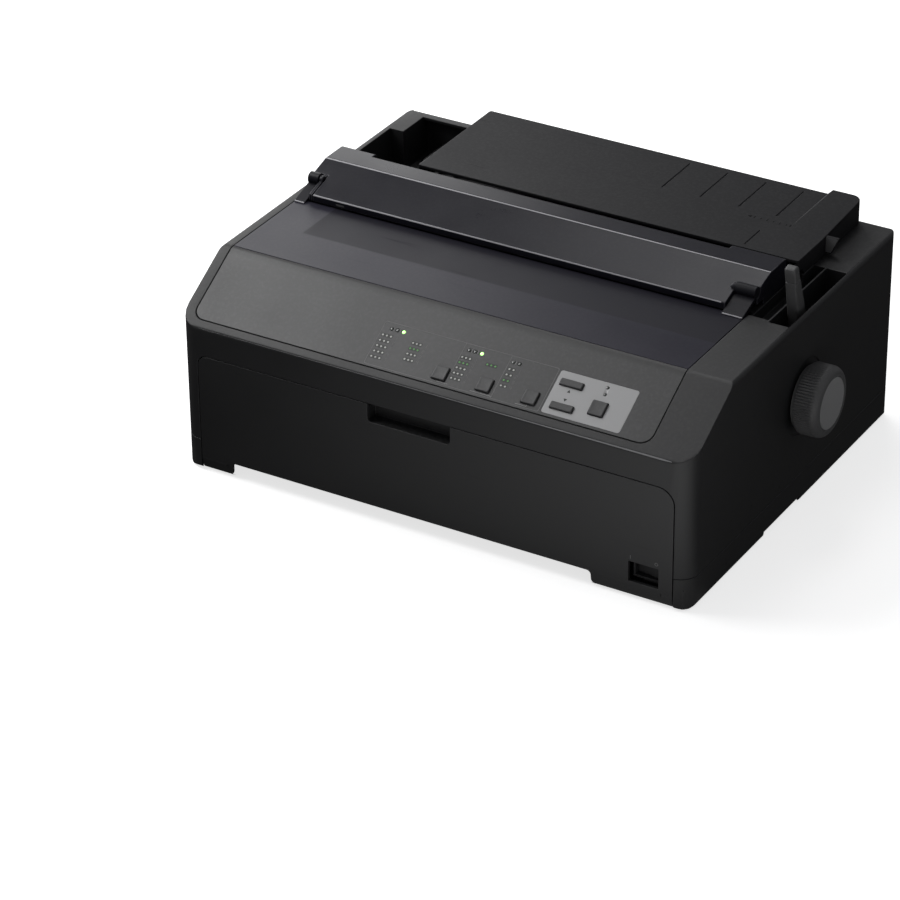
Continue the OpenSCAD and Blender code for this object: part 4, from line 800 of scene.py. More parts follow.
class Workshop:
    """Holds the frame and the materials, and hands pieces to the frame."""

    def __init__(self, frame: dict[str, Any]) -> None:
        """Keeps the loaded frame and builds the shared shader groups.
        """
        self.nodes: dict[str, bpy.types.Object] = frame["nodes"]
        self.groups = {"grain": grain_group(), "handling": handling_group(), "rim": rim_group()}
        self.made: dict[str, bpy.types.Material] = {}

    def material(self, finish: Finish) -> bpy.types.Material:
        """Returns the finish's material, built on first use.

        Args:
            finish: The finish.

        Returns:
            The material.
        """
        if finish.name not in self.made:
            self.made[finish.name] = finish.material(self.groups)
        return self.made[finish.name]

    def hand_over(self, obj: bpy.types.Object, body: str, finish: Finish, *replaced: str) -> bpy.types.Object:
        """Dresses a new piece and fastens it to its body.

        Args:
            obj: The piece, already in place.
            body: Name of the body it rides on.
            finish: Its finish.
            *replaced: CAD nodes that it stands for.

        Returns:
            The piece.
        """
        obj.data.materials.clear()
        obj.data.materials.append(self.material(finish))
        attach(obj, str(getattr(body, "value", body)))
        if replaced:
            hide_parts(*replaced)
        LOG.info("piece %s: %d faces on %s", obj.name, len(obj.data.polygons), getattr(body, "value", body))
        return obj

    def paint(self, finish: Finish, *names: str) -> None:
        """Gives CAD nodes their finish without touching their meshes.

        Args:
            finish: The finish.
            *names: The CAD nodes.
        """
        for name in names:
            mesh = self.nodes[name].data
            mesh.materials.clear()
            mesh.materials.append(self.material(finish))
            LOG.info("painted %s with %s", name, finish.name)

    def ease_all(self, pieces: Sequence[tuple[str, Finish, float]]) -> None:
        """Eases the edges of several CAD nodes, given as name, finish and width."""
        for name, finish, width in pieces:
            self.ease_edges(name, finish, width)

    def ease_edges(self, name: str, finish: Finish, width: float, crease: float = 30.0) -> bpy.types.Object:
        """Replaces a CAD node by a copy with its sharp edges rounded and marked as rims.

        Rounding only takes area away, so a copy whose area has grown folds over itself somewhere; the
        width then shrinks until the copy is sound.

        Args:
            name: The CAD node.
            finish: Finish of the copy.
            width: Width of the rounding in millimetres.
            crease: Edges sharper than this many degrees are rounded.

        Returns:
            The new piece.
        """
        source = self.nodes[name]
        for share in (1.0, 0.7, 0.5, 0.3, 0.1):
            mesh = rounded_copy(source.data, name + "_shell", width * share * MM, crease)
            if surface_area(mesh) < surface_area(source.data) or share == 0.1:
                break
            bpy.data.meshes.remove(mesh)
        mesh.shade_smooth()
        mesh.set_sharp_from_angle(angle=math.radians(44.0))
        obj = place_object(name + "_shell", mesh)
        level = obj.modifiers.new("flat_faces", "WEIGHTED_NORMAL")
        level.keep_sharp = True
        level.weight = 80
        LOG.info("edges of %s rounded by %.2f mm", name, width * share)
        return self.hand_over(obj, source["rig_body"], finish, name)


def rounded_copy(source: bpy.types.Mesh, name: str, width: float, crease: float) -> bpy.types.Mesh:
    """Copies a mesh with merged points and bevelled edges; the bevels get the corner attribute `rim`.

    Args:
        source: Mesh to copy.
        name: Name of the copy.
        width: Width of the bevels in metres.
        crease: Edges sharper than this many degrees are bevelled.

    Returns:
        The copy.
    """
    shell = bmesh.new()
    shell.from_mesh(source)
    bmesh.ops.remove_doubles(shell, verts=shell.verts[:], dist=2e-6)
    rim = shell.loops.layers.float.new("rim")
    angle = math.radians(crease)
    sharp = [e for e in shell.edges if len(e.link_faces) == 2 and e.calc_face_angle(0.0) > angle]
    made = bmesh.ops.bevel(shell, geom=sharp, offset=width, offset_type="OFFSET", segments=2,
                           profile=0.5, affect="EDGES", clamp_overlap=False)
    for face in made["faces"]:
        for corner in face.loops:
            corner[rim] = 1.0
    mesh = bpy.data.meshes.new(name)
    shell.to_mesh(mesh)
    shell.free()
    return mesh


def surface_area(mesh: bpy.types.Mesh) -> float:
    """Adds up the areas of a mesh's faces.

    Args:
        mesh: The mesh.

    Returns:
        The sum in square metres.
    """
    areas = np.empty(len(mesh.polygons))
    mesh.polygons.foreach_get("area", areas)
    return float(areas.sum())


# ---------------------------------------------------------------- sub-assemblies


@dataclass
class CaseShells:
    """Lower and upper shell, front cover and what is fastened to them."""

    eased: tuple[tuple[str, Finish, float], ...] = (
        ("lower_case", Finishes.CASE, 0.45), ("upper_case", Finishes.CASE, 0.45),
        ("front_cover", Finishes.COVER, 0.4), ("power_rocker", Finishes.INNER, 0.3),
        ("rocker_housing", Finishes.INNER, 0.3), ("rubber_feet", Finishes.RUBBER, 0.4))
    sign_height: float = 2.6
    sign_line: float = 0.45
    sign_z: float = 33.0
    sign_x: Span = (158.6, 178.4)
    sign_rise: Span = (-0.05, 0.06)
    # The brow bead is a painted highlight; it widens towards the right, where the highlight is stronger.
    brow: Span = (-158.5, 115.27)
    brow_x: tuple[float, ...] = (-186.0, -60.0, 60.0, 150.0, 182.0, 188.0)
    brow_width: tuple[float, ...] = (0.12, 0.25, 0.5, 0.9, 1.1, 0.5)
    brow_tilt: float = 60.3

    def build(self, shop: Workshop) -> None:
        """Dresses the shells, then adds a painted highlight along the edge under the panel and marks the
        switch.

        Args:
            shop: Workshop that takes the pieces.
        """
        shop.ease_all(self.eased)
        shop.paint(Finishes.STEEL, "case_screws")
        edge = Surface().loft(bead(self.brow, self.brow_x, self.brow_width, self.brow_tilt))
        shop.hand_over(edge.build("brow_bright_edge"), Body.CASE, Finishes.CASE_LINE)
        self.switch_signs(shop)

    def switch_signs(self, shop: Workshop) -> None:
        """Puts the line and ring signs for on and off over the switch, a little proud of the cover.

        Args:
            shop: Workshop that takes the pieces.
        """
        half, z, (line_x, ring_x) = self.sign_height / 2, self.sign_z, self.sign_x
        stroke = stadium_ring((line_x, z - half), (line_x, z + half), self.sign_line)
        signs = Surface().loft([standing(stroke, FRONT_Y - rise) for rise in self.sign_rise])
        outer, inner = (circle_ring(radius) + (ring_x, z) for radius in (half, half - self.sign_line))
        ring = [standing(outline, FRONT_Y - rise) for outline, rise in raised(outer, inner, self.sign_rise)]
        signs.grid(np.stack(ring), wrap_u=True)
        shop.hand_over(signs.build("switch_signs"), Body.DOOR, Finishes.LINE_INK)


@dataclass
class ControlPanel:
    """Sloping panel: insert, silver film, key caps, lamps and printed marks."""

    frame_x: Span = (-55.0, 82.5)
    frame_s: Span = (9.0, 45.0)
    dividers: tuple[float, ...] = (9.5, 45.5)
    line: float = 0.42
    ink: Span = (-0.05, 0.05)
    keys: tuple[tuple[str, float, float, float, float], ...] = (
        ("font", 2.7, 17.0, 10.4, 10.4), ("pitch", 37.2, 17.4, 10.4, 10.4),
        ("tear_off", 72.6, 17.6, 10.4, 10.4), ("load", 95.9, 35.7, 17.2, 5.2),
        ("feed", 97.0, 17.0, 17.2, 5.2), ("pause", 121.7, 23.2, 11.4, 11.4))
    key_height: float = 1.5
    key_foot: float = -4.0
    bracket_s: float = 10.6
    bracket_line: float = 0.36
    lit: tuple[Span, ...] = ((-38.3, 40.0), (23.8, 40.0))
    dark: tuple[Span, ...] = ((-47.8, 40.0), (-43.1, 40.0), (14.1, 40.0), (18.8, 40.0), (48.6, 40.0),
                              (53.6, 40.0), (121.1, 40.5), (121.6, 35.0))
    lamp_r: float = 1.25
    dot_r: float = 0.72
    dot_levels: tuple[Span, ...] = ((0.0, 1.0), (0.07, 1.0), (0.12, 0.7))
    ground: Span = (-0.05, 0.04)
    ground_r: float = 1.35
    dot_sets: tuple[tuple[tuple[float, ...], Span, int, int], ...] = (
        ((-52.0, -48.75, -45.5), (15.7, 33.9), 5, -1), ((-27.7, -24.75, -21.8), (20.3, 33.8), 4, 2),
        ((11.5, 14.5, 17.6), (16.0, 33.6), 5, 2), ((48.2, 51.4), (20.6, 34.3), 4, 3),
        ((31.4, 34.5, 37.7), (33.2, 33.2), 1, 0))
    digit_h: float = 2.1
    digit_w: float = 1.25
    digit_gap: float = 3.6
    digit_line: float = 0.26
    arrows: tuple[tuple[float, float, float], ...] = ((96.4, 30.0, 1.0), (96.6, 23.0, -1.0))
    insert_x: Span = (-195.0, 167.5)
    insert_s: Span = (7.4, 66.3)
    insert_r: float = 9.0
    seam: Span = (-0.5, 0.3)
    seam_rise: Span = (-0.05, 0.03)
    seam_above: float = 10.0
    lid_seam_y: Span = (-98.4, -20.0)
    lid_seam_z: Span = (150.4, 150.63)
    lid_seam_line: float = 0.8

    def build(self, shop: Workshop) -> None:
        """Dresses the insert, then adds film, caps, lamps and print.

        Args:
            shop: Workshop that takes the pieces.
        """
        shop.ease_edges("panel_bezel", Finishes.PANEL, 0.3)
        shop.ease_edges("panel_label", Finishes.FILM, 0.08)
        shop.paint(Finishes.BOARD, "panel_board")
        for key in self.keys:
            self.key_cap(shop, *key)
        for step in (self.lamps, self.print_lines, self.print_dots, self.print_digits, self.film_marks,
                     self.seam_line):
            step(shop)

    def seam_line(self, shop: Workshop) -> None:
        """Draws the dark seam round three sides of the insert and along the lid's left edge.

        The path is a rounded rectangle without its top side, drawn once outside and once inside the edge.

        Args:
            shop: Workshop that takes the piece.
        """
        (x0, x1), (s0, s1), above, arc = self.insert_x, self.insert_s, self.seam_above, 8
        paths = []
        for grow in self.seam:
            ring = rounded_ring((x1 - x0) / 2 - grow, (s1 - s0) / 2 + above - grow, self.insert_r - grow, arc)
            low = ring[2 * arc:] + ((x0 + x1) / 2, (s0 + s1) / 2 + above)
            paths.append(np.vstack([[x0 + grow, s1], low, [x1 - grow, s1]]))
        rings = [on_slope(*path.T, rise) for path, rise in raised(*paths, self.seam_rise)]
        lines, beside = Surface().grid(np.stack(rings, 1)), x0 - 0.15
        left = stadium_ring((beside, self.lid_seam_y[0]), (beside, self.lid_seam_y[1]), self.lid_seam_line)
        lines.loft([lying(left, z) for z in self.lid_seam_z])
        shop.hand_over(lines.build("panel_seam"), Body.CASE, Finishes.BLACK_INK)

    def key_cap(self, shop: Workshop, name: str, x: float, s: float, width: float, height: float) -> None:
        """Makes one key cap: rounded rings rise, shrink over the rim and dish slightly at the top.

        Args:
            shop: Workshop that takes the piece.
            name: Key name; its node is the name plus _button.
            x: Middle of the key across the panel.
            s: Middle of the key up the panel.
            width: Size across.
            height: Size up the slope.
        """
        top = self.key_height
        levels = ((self.key_foot, 0.0), (top - 0.55, 0.0), (top - 0.3, 0.07), (top - 0.08, 0.26),
                  (top, 0.55), (top - 0.03, 1.1), (top - 0.1, 2.2))
        cap = Surface()
        rings = []
        for level, inset in levels:
            corner = 0.9 if inset < 0.6 else 0.35
            rings += on_panel(rounded_ring(width / 2 - inset, height / 2 - inset, corner), (level,), (x, s))
        collar = rounded_ring(width / 2 + 1.0, height / 2 + 0.8, 0.5)
        cap.loft(rings).loft(on_panel(collar, (self.key_foot, self.key_foot + 0.8), (x, s)))
        shop.hand_over(cap.build(name + "_key"), name + "_key", Finishes.KEY, name + "_button")

    def lamps(self, shop: Workshop) -> None:
        """Makes the lamps: a stem and a dome whose radius falls as the cosine of its rise.

        Args:
            shop: Workshop that takes the pieces.
        """
        rise = np.linspace(0.0, math.radians(80.0), 5)
        levels = [(-6.4, 1.0), (-0.1, 1.0)] + [(0.28 * math.sin(a), math.cos(a)) for a in rise]
        lit, dark = (studs(spots, self.lamp_r, 20, levels) for spots in (self.lit, self.dark))
        shop.hand_over(lit.build("lit_lamps"), Body.CASE, Finishes.LIT_LAMP, "status_lights")
        shop.hand_over(dark.build("dark_lamps"), Body.CASE, Finishes.DARK_LAMP)

    def stroke(self, marks: Surface, start: Span, end: Span, width: float) -> None:
        """Adds a printed stroke with round ends."""
        marks.loft(on_panel(stadium_ring(start, end, width), self.ink))

    def print_lines(self, shop: Workshop) -> None:
        """Prints the outline round the three key groups, its dividers and the brackets under the keys.

        Args:
            shop: Workshop that takes the pieces.
        """
        (x0, x1), (s0, s1) = self.frame_x, self.frame_s
        outer, inner = (rounded_ring((x1 - x0) / 2 - inset, (s1 - s0) / 2 - inset, 1.5 - inset / 2)
                        + (sum(self.frame_x) / 2, sum(self.frame_s) / 2) for inset in (0.0, self.line))
        rings = [on_slope(*outline.T, level) for outline, level in raised(outer, inner, self.ink)]
        marks = Surface().grid(np.stack(rings), wrap_u=True)
        for x in self.dividers:
            self.stroke(marks, (x, s0 + 0.4), (x, s1 - 0.4), self.line)
        shop.hand_over(marks.build("panel_outline"), Body.CASE, Finishes.LINE_INK)
        brackets, low, line = Surface(), self.bracket_s, self.bracket_line
        keys = [(x, s - height / 2 - 0.7) for _, x, s, _, height in self.keys[:3]]
        for (x0, s0), (x1, _) in zip(keys, keys[1:]):
            gap = (x1 - x0) * 0.24
            self.stroke(brackets, (x0, low), (x0 + gap, low), line)
            self.stroke(brackets, (x1 - gap, low), (x1, low), line)
            self.stroke(brackets, (x0, low), (x0, s0), line)
        self.stroke(brackets, (keys[2][0], low), keys[2], line)
        shop.hand_over(brackets.build("key_brackets"), Body.CASE, Finishes.PALE_INK)

    def dot_places(self) -> tuple[np.ndarray, np.ndarray]:
        """Works out the dot positions of every block.

        Returns:
            Centres of the plain dots and of the green dots, each (n, 2).
        """
        plain, green = [], []
        for columns, span, rows, marked in self.dot_sets:
            levels = np.linspace(span[1], span[0], rows)
            for row, s in enumerate(levels):
                spots = np.stack([np.array(columns), np.full(len(columns), s)], -1)
                (green if row == marked - 1 or marked == 0 else plain).append(spots)
        return np.concatenate(plain), np.concatenate(green)

    def print_dots(self, shop: Workshop) -> None:
        """Prints the indicator blocks: dark grounds, pale dots and the green row of each block.

        Args:
            shop: Workshop that takes the pieces.
        """
        ground, r = Surface(), self.ground_r
        for columns, span, rows, _ in self.dot_sets:
            ring = rounded_ring((columns[-1] - columns[0]) / 2 + r, r, 0.5, 4)
            for s in np.linspace(span[0], span[1], rows):
                ground.loft(on_panel(ring, self.ground, ((columns[0] + columns[-1]) / 2, s)))
        shop.hand_over(ground.build("dot_grounds"), Body.CASE, Finishes.DARK_INK)
        plain, green = (studs(spots, self.dot_r, 12, self.dot_levels) for spots in self.dot_places())
        shop.hand_over(plain.build("plain_dots"), Body.CASE, Finishes.DOT_INK)
        shop.hand_over(green.build("green_dots"), Body.CASE, Finishes.GREEN_DOT)

    SEGMENTS = {1: "bc", 2: "abged", 3: "abgcd", 4: "fgbc", 5: "afgcd"}
    STROKES = {"a": ((0, 1), (1, 1)), "b": ((1, 0.5), (1, 1)), "c": ((1, 0), (1, 0.5)), "d": ((0, 0), (1, 0)),
               "e": ((0, 0), (0, 0.5)), "f": ((0, 0.5), (0, 1)), "g": ((0, 0.5), (1, 0.5))}

    def print_digits(self, shop: Workshop) -> None:
        """Numbers each row of dots in plain strokes, counted from the top.

        Args:
            shop: Workshop that takes the pieces.
        """
        digits, size = Surface(), np.array([self.digit_w, self.digit_h])
        for columns, span, rows, _ in self.dot_sets[:4]:
            for row, s in enumerate(np.linspace(span[1], span[0], rows)):
                corner = (columns[-1] + self.digit_gap, s - self.digit_h / 2)
                for part in self.SEGMENTS[row + 1]:
                    start, end = corner + size * self.STROKES[part]
                    self.stroke(digits, start, end, self.digit_line)
        shop.hand_over(digits.build("row_numbers"), Body.CASE, Finishes.LINE_INK)

    def film_marks(self, shop: Workshop) -> None:
        """Prints the up and down arrows between the two wide keys on the film.

        Args:
            shop: Workshop that takes the pieces.
        """
        arrows = Surface()
        for x, s, way in self.arrows:
            tip = np.array([[-1.3, -way], [1.3, -way], [0.05, way * 1.2], [-0.05, way * 1.2]])
            arrows.loft(on_panel(tip, self.ink, (x, s)))
        shop.hand_over(arrows.build("film_arrows"), Body.CASE, Finishes.DARK_INK)


@dataclass
class Covers:
    """Smoked lid, lift-off paper cover with its rollers, and the rear sheet guide."""

    eased: tuple[tuple[str, Finish, float], ...] = (
        ("smoked_lid", Finishes.LID, 0.3), ("paper_cover", Finishes.RIDGE, 0.55),
        ("sheet_guide", Finishes.GUIDE, 0.45), ("tension_rollers", Finishes.RUBBER, 0.3))
    guide_top: float = 165.0
    tick_x: tuple[float, ...] = (118.0, 123.0, 128.0, 133.0, 138.0, 143.0)
    tick_y: float = 99.0
    tick_length: Span = (2.8, 1.6)
    tick_line: float = 0.5
    tick_rise: Span = (-0.1, 0.12)
    arrowheads: tuple[Span, ...] = ((114.0, -1.0), (147.0, 1.0))
    arrow_half: float = 1.4
    # crest, lip and arm_edge place the painted highlight beads; the crest also places the painted shade line
    # behind it.
    crest: Span = (25.5, 167.38)
    crest_x: Span = (-194.6, 167.1)
    lip: Span = (-11.72, 156.09)
    lip_x: Span = (-182.4, 148.2)
    arm_edge: Span = (-17.55, 151.45)
    arm_spans: tuple[Span, ...] = ((-194.7, -186.8), (151.8, 167.2))
    lip_tab: tuple[float, float, float, float] = (-163.0, -156.2, 152.6, 153.9)
    lip_tab_y: float = -12.0
    tab: tuple[Span, ...] = ((175.3, 152.9), (179.2, 152.9), (184.5, 164.6), (175.3, 164.6))
    tab_y: float = 97.0

    def build(self, shop: Workshop) -> None:
        """Dresses the covers, then adds painted highlights along the ridge's crest and lip and the lid arms'
        front edges, a painted shade line behind the crest, the small tabs and the guide's marks.

        Args:
            shop: Workshop that takes the pieces.
        """
        shop.ease_all(self.eased)
        self.guide_ticks(shop)
        # Painted highlights: light beads along the ridge's rounded crest and lip.
        ridge_highlights = Surface().loft(bead(self.crest, self.crest_x, (1.35, 1.0), 8.25))
        ridge_highlights.loft(bead(self.lip, self.lip_x, (1.1, 0.9), 53.3))
        shop.hand_over(ridge_highlights.build("ridge_bright_edges"), Body.RIDGE, Finishes.RIDGE_LINE)
        # Painted highlights: light beads along the lid arms' front edges.
        arm_highlights = Surface()
        for span in self.arm_spans:
            arm_highlights.loft(bead(self.arm_edge, span, (0.9, 0.9), 45.0))
        shop.hand_over(arm_highlights.build("arm_bright_edges"), Body.LID, Finishes.RIDGE_LINE)
        # Painted shade: a thin black line just behind the crest's painted highlight.
        shade = Surface().loft(bead((self.crest[0] + 1.0, self.crest[1]), self.crest_x, (0.6, 0.4), 0.0))
        shop.hand_over(shade.build("crest_shade"), Body.RIDGE, Finishes.BLACK_INK)
        x0, x1, z0, z1 = self.lip_tab
        plate = rounded_ring((x1 - x0) / 2, (z1 - z0) / 2, 0.3) + ((x0 + x1) / 2, (z0 + z1) / 2)
        self.plate(shop, "lip_tab", Body.RIDGE, plate, self.lip_tab_y)
        self.plate(shop, "guide_tab_face", Body.GUIDE, np.array(self.tab), self.tab_y)

    @staticmethod
    def plate(shop: Workshop, name: str, body: Body, ring: np.ndarray, y: float) -> None:
        """Adds a thin light plate with an (X, Z) outline on a face that looks to the front at `y`."""
        plate = Surface().loft([standing(ring, y + depth) for depth in (0.2, -0.08)])
        shop.hand_over(plate.build(name), body, Finishes.TAB)

    def guide_ticks(self, shop: Workshop) -> None:
        """Moulds a row of short ticks and two small arrowheads on the guide's top.

        Args:
            shop: Workshop that takes the pieces.
        """
        rings, y, half = [], self.tick_y, self.arrow_half
        for i, x in enumerate(self.tick_x):
            reach = self.tick_length[i % 2] / 2
            rings.append(stadium_ring((x, y - reach), (x, y + reach), self.tick_line))
        for x, way in self.arrowheads:
            wide, tip = x - way * half, x + way * half
            rings.append(np.array([[wide, y - half], [tip, y - 0.1], [tip, y + 0.1], [wide, y + half]]))
        ticks = Surface()
        for ring in rings:
            ticks.loft([lying(ring, self.guide_top + rise) for rise in self.tick_rise])
        shop.hand_over(ticks.build("guide_ticks"), Body.GUIDE, Finishes.BLACK_INK)


@dataclass
class FeedControls:
    """Ribbed feed knob and paper release lever."""

    axis: Span = (10.0, 87.0)
    knob_x: Span = (203.9, 225.5)
    knob_r: float = 26.0
    ribs: int = 76
    rib_depth: float = 0.75
    pivot: Span = (27.0, 101.0)
    lean: float = 14.0
    lever_x: Span = (188.0, 196.5)
    lever_top: float = 187.0
    hub_r: float = 8.0
    shaft_r: float = 2.45
    shaft_from: float = 150.9

    def build(self, shop: Workshop) -> None:
        """Builds the knob and the lever."""
        self.knob(shop)
        self.lever(shop)

    def knob(self, shop: Workshop) -> None:
        """Turns the knob: hub, thin flange, ribbed rim, rounded shoulder and shallow dished face, with a
        lighter disc over the face as painted light.

        Args:
            shop: Workshop that takes the pieces.
        """
        x0, x1, r = *self.knob_x, self.knob_r
        hub = [(x0 - 3.2, 9.9, 0.0), (x0 + 0.2, 9.9, 0.0), (x0 + 0.3, r - 3.3, 0.0), (x0 + 0.5, r - 3.0, 0.0),
               (x0 + 2.9, r - 3.0, 0.0)]
        rim = [(x0 + 3.1, r - 1.4, 0.0), (x0 + 3.5, r - 0.5, 0.3), (x0 + 4.2, r - 0.05, 1.0),
               (x0 + 8.0, r, 1.0), (x0 + 12.0, r, 1.0), (x1 - 7.2, r, 1.0), (x1 - 6.2, r, 0.9)]
        shoulder = [(x1 - 6.2 + 6.2 * math.sin(a), r - 5.6 * (1 - math.cos(a)), max(0.0, 0.7 - 1.1 * a))
                    for a in np.linspace(0.0, math.pi / 2, 9)[1:]]
        face = [(x1 - 0.05, r - 6.2, 0.0), (x1 - 0.8, r - 7.0, 0.0), (x1 - 0.9, r - 9.0, 0.0),
                (x1 - 0.9, 0.4, 0.0)]
        profile = np.array(hub + rim + shoulder + face)
        body = Surface().grid(revolve_x(profile, self.axis, self.ribs, self.rib_depth))
        shop.hand_over(body.build("ribbed_knob", 40.0), Body.PLATEN, Finishes.KNOB, "feed_knob")
        # The face disc is painted light: its lighter grey stands in for the light falling on the knob's face.
        disc = np.array([(x1 - 1.3, r - 7.1, 0.0), (x1 - 0.5, r - 7.1, 0.0), (x1 - 0.2, r - 7.5, 0.0),
                         (x1 - 0.3, r - 9.0, 0.0), (x1 - 0.35, 0.4, 0.0)])
        cap = Surface().grid(revolve_x(disc, self.axis))
        shop.hand_over(cap.build("knob_cap"), Body.PLATEN, Finishes.KNOB_FACE)

    def lever(self, shop: Workshop) -> None:
        """Builds the lever: rounded sections rise along its leaning middle line to a grooved tip.

        Each section has its rise, its reach ahead of and behind the middle line, and its inset at the sides.

        Args:
            shop: Workshop that takes the piece.
        """
        lean, (x0, x1), (y, z) = math.radians(self.lean), self.lever_x, self.pivot
        rise_by, back_by = math.cos(lean), math.sin(lean)
        top = (self.lever_top - z) / rise_by - 0.4
        sections = (
            (0.0, 6.0, 6.0, 0.0), (20.0, 6.2, 6.9, 0.0), (top * 0.45, 6.1, 7.3, 0.0),
            (top * 0.62, 5.2, 6.1, 0.0), (top * 0.8, 4.2, 4.7, 0.0), (top - 12.4, 3.6, 3.9, 0.0),
            (top - 12.0, 3.2, 3.5, 0.3), (top - 11.2, 3.2, 3.5, 0.3), (top - 10.8, 3.6, 3.8, 0.0),
            (top - 5.0, 3.5, 3.5, 0.0), (top - 1.6, 3.35, 3.35, 0.0), (top - 0.6, 2.9, 2.9, 0.4),
            (top - 0.1, 2.1, 2.1, 1.0), (top, 1.2, 1.2, 1.8))
        rings = []
        for rise, ahead, behind, inset in sections:
            ring = rounded_ring((x1 - x0) / 2 - inset, (ahead + behind) / 2, 1.2)
            back = ring[:, 1] + (behind - ahead) / 2
            rings.append(np.stack([ring[:, 0] + (x0 + x1) / 2, y + back * rise_by - rise * back_by,
                                   z + back * back_by + rise * rise_by], -1))
        body, hub_r, start = Surface().loft(rings), self.hub_r, self.shaft_from
        hub = [(x0 + 0.05, hub_r - 0.6, 0), (x0 + 0.5, hub_r - 0.05, 0), (x1 - 0.5, hub_r - 0.05, 0),
               (x1 - 0.05, hub_r - 0.6, 0)]
        shaft = [(start, self.shaft_r - 0.4, 0), (start + 0.4, self.shaft_r, 0), (x0 + 1.0, self.shaft_r, 0)]
        for profile in (hub, shaft):
            body.grid(revolve_x(np.array(profile), self.pivot))
        shop.hand_over(body.build("release_handle"), Body.LEVER, Finishes.LEVER, "release_lever")


@dataclass
class PrintUnit:
    """Everything of the print unit inside the case."""

    painted: tuple[tuple[Finish, tuple[str, ...]], ...] = (
        (Finishes.STEEL, ("platen_shaft", "tractor_shaft", "tractor_support_shaft", "carriage_shaft",
                          "idler_studs", "motor_pulley", "idler_pulley")),
        (Finishes.SHEET, ("left_frame", "right_frame", "base_frame")),
        (Finishes.GEAR, ("platen_gear", "idler_gears_a", "idler_gears_b", "tractor_gear", "platen_bushes",
                         "left_pin_belt", "right_pin_belt")),
        (Finishes.INNER, ("left_tractor", "right_tractor", "paper_ramp", "carriage")),
        (Finishes.KEY, ("left_tractor_flap", "right_tractor_flap")),
        (Finishes.GREEN_LEVER, ("left_lock_lever", "right_lock_lever")),
        (Finishes.BRASS, ("feed_pinion",)), (Finishes.MOTOR, ("feed_motor", "carriage_motor")),
        (Finishes.BELT, ("timing_belt",)))
    eased: tuple[tuple[str, Finish, float], ...] = (
        ("platen_roller", Finishes.RUBBER, 0.5), ("print_head", Finishes.HEAD, 0.2),
        ("ribbon_cartridge", Finishes.INNER, 0.3), ("ribbon_knob", Finishes.KEY, 0.3))

    def build(self, shop: Workshop) -> None:
        """Gives each inner piece its finish; the platen, head and cartridge also get eased edges.

        Args:
            shop: Workshop that takes the pieces.
        """
        for finish, names in self.painted:
            shop.paint(finish, *names)
        shop.ease_all(self.eased)


@dataclass
class Electronics:
    """Boards, supply and mains inlet."""

    def build(self, shop: Workshop) -> None:
        """Gives the electrical pieces their finishes.

        Args:
            shop: Workshop that takes the pieces.
        """
        shop.paint(Finishes.BOARD, "main_board")
        shop.paint(Finishes.SHEET, "interface_sockets")
        shop.paint(Finishes.LAMINATE, "power_supply")
        shop.ease_edges("power_inlet", Finishes.INNER, 0.25)


# ---------------------------------------------------------------- studio


@dataclass(frozen=True)
class Softbox:
    """One soft area lamp."""

    name: str
    place: tuple[float, float, float]
    aim: tuple[float, float, float]
    size: tuple[float, float]
    power: float

    def build(self) -> None:
        """Makes the lamp, pointed at its aim."""
        light = bpy.data.lights.new(self.name, "AREA")
        light.shape, light.energy = "RECTANGLE", self.power
        light.size, light.size_y = self.size
        obj = place_object(self.name, light)
        obj.location = self.place
        obj.rotation_euler = (Vector(self.aim) - Vector(self.place)).to_track_quat("-Z", "Y").to_euler()


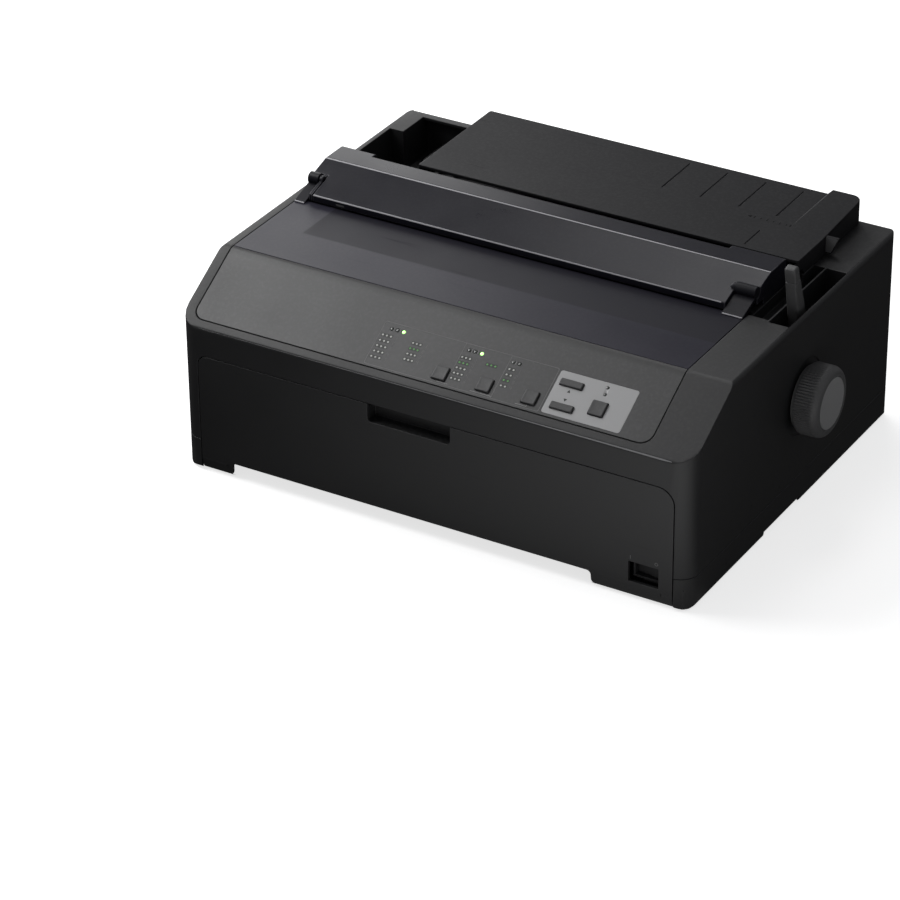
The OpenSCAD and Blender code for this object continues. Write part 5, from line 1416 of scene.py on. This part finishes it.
@dataclass
class Studio:
    """Pale floor, white surroundings, soft lamps and the photograph's camera."""

    camera_place: tuple[float, float, float] = (1.194, -2.148, 1.430)
    camera_heading: tuple[float, float, float] = (-0.42704, 0.75020, -0.50483)
    lens: float = 157.2
    shift_x: float = -0.0772
    floor_size: float = 9.0
    floor_points: int = 9
    floor_glow: float = 0.72
    bright_y: Span = (-0.34, -0.12)
    bright_x: Span = (-0.24, 0.26)
    bright_glow: float = 1.35
    dim_glow: float = 0.05
    softboxes: tuple[Softbox, ...] = (
        Softbox("rear_left_panel", (-1.20, 1.05, 0.72), (-0.12, 0.0, 0.15), (0.95, 0.75), 6.0),
        Softbox("overhead_panel", (-1.18, -0.2, 1.35), (-0.1, -0.1, 0.13), (1.12, 0.8), 18.0),
        Softbox("ridge_panel", (-0.28, 0.55, 1.36), (0.0, 0.05, 0.16), (0.5, 0.5), 3.2),
    )

    def build(self, shop: Workshop) -> None:
        """Sets up floor, world, lamps and camera.

        Args:
            shop: Not used.
        """
        self.floor()
        self.world()
        for box in self.softboxes:
            box.build()
        self.camera()

    def floor(self) -> None:
        """Lays the floor: white with the printer's shadow where it is seen, a dim glow to all other rays.

        The glow rises towards the front right, where the studio is brighter.
        """
        side = np.linspace(-self.floor_size / 2, self.floor_size / 2, self.floor_points)
        x, y = np.meshgrid(side, side, indexing="ij")
        mesh = bpy.data.meshes.new("floor")
        points = np.stack([x, y, np.zeros_like(x)], -1).reshape(-1, 3)
        mesh.from_pydata(points.tolist(), [], quads_of(np.arange(x.size).reshape(x.shape)))
        mat = bpy.data.materials.new("floor_white")
        mat.use_nodes = True
        w = Dressing(mat.node_tree, {})
        w.feed(Base_Color=(0.8, 0.8, 0.8, 1.0), Roughness=0.9, Specular_IOR_Level=0.0)
        white = (1.0, 1.0, 1.0, 1.0)
        seen = w.add("Emission", Color=white, Strength=self.floor_glow)
        lit = w.add("AddShader", _0=w.shader.outputs[0], _1=seen.outputs[0])
        ahead = w.math("SUBTRACT", 1.0, w.band(self.axis(w, 1), *self.bright_y))
        front_right = w.times(ahead, w.band(self.axis(w, 0), *self.bright_x))
        glow = w.line(front_right, self.bright_glow, self.dim_glow)
        dim = w.add("Emission", Color=white, Strength=glow)
        self.split_view(w, dim, lit, mat.node_tree.nodes["Material Output"])
        mesh.materials.append(mat)
        place_object("floor", mesh)

    @staticmethod
    def axis(w: Dressing, number: int) -> bpy.types.NodeSocket:
        """Returns one coordinate of the piece, in metres."""
        return w.add("SeparateXYZ", Vector=w.place).outputs[number]

    @staticmethod
    def split_view(w: Wiring, others: bpy.types.Node, camera: bpy.types.Node, out: bpy.types.Node) -> None:
        """Shows one shader to the camera and another to all other rays.

        Args:
            w: Wiring of the material.
            others: What all other rays meet.
            camera: What the camera sees.
            out: The output node.
        """
        seen = w.add("LightPath").outputs["Is Camera Ray"]
        mix = w.add("MixShader", _0=seen, _1=others.outputs[0], _2=camera.outputs[0])
        w.fill(out, Surface=mix.outputs[0])

    def world(self) -> None:
        """White where the camera looks, dim soft grey for everything else."""
        world = bpy.data.worlds.new("surroundings")
        world.use_nodes = True
        w = Wiring(world.node_tree)
        dim = w.add("Background", Color=(0.96, 0.97, 1.0, 1.0), Strength=0.2)
        white = w.add("Background", Color=(1.0, 1.0, 1.0, 1.0), Strength=1.0)
        self.split_view(w, dim, white, world.node_tree.nodes["World Output"])
        bpy.context.scene.world = world

    def camera(self) -> None:
        """Places the camera where the photograph was taken from."""
        data = bpy.data.cameras.new("photo_camera")
        data.lens, data.sensor_width, data.shift_x = self.lens, 36.0, self.shift_x
        data.clip_start, data.clip_end = 0.1, 50.0
        obj = place_object("photo_camera", data)
        obj.location = self.camera_place
        obj.rotation_euler = Vector(self.camera_heading).to_track_quat("-Z", "Y").to_euler()
        bpy.context.scene.camera = obj
        bpy.context.scene.view_settings.view_transform = "Standard"


def main() -> None:
    """Builds the printer's looks and its studio."""
    logging.basicConfig(level=logging.INFO, format="%(message)s")
    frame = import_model()
    shop = Workshop(frame)
    for kind in (CaseShells, ControlPanel, Covers, FeedControls, PrintUnit, Electronics, Studio):
        kind().build(shop)
        LOG.info("%s done", kind.__name__)


if __name__ == "__main__":
    main()
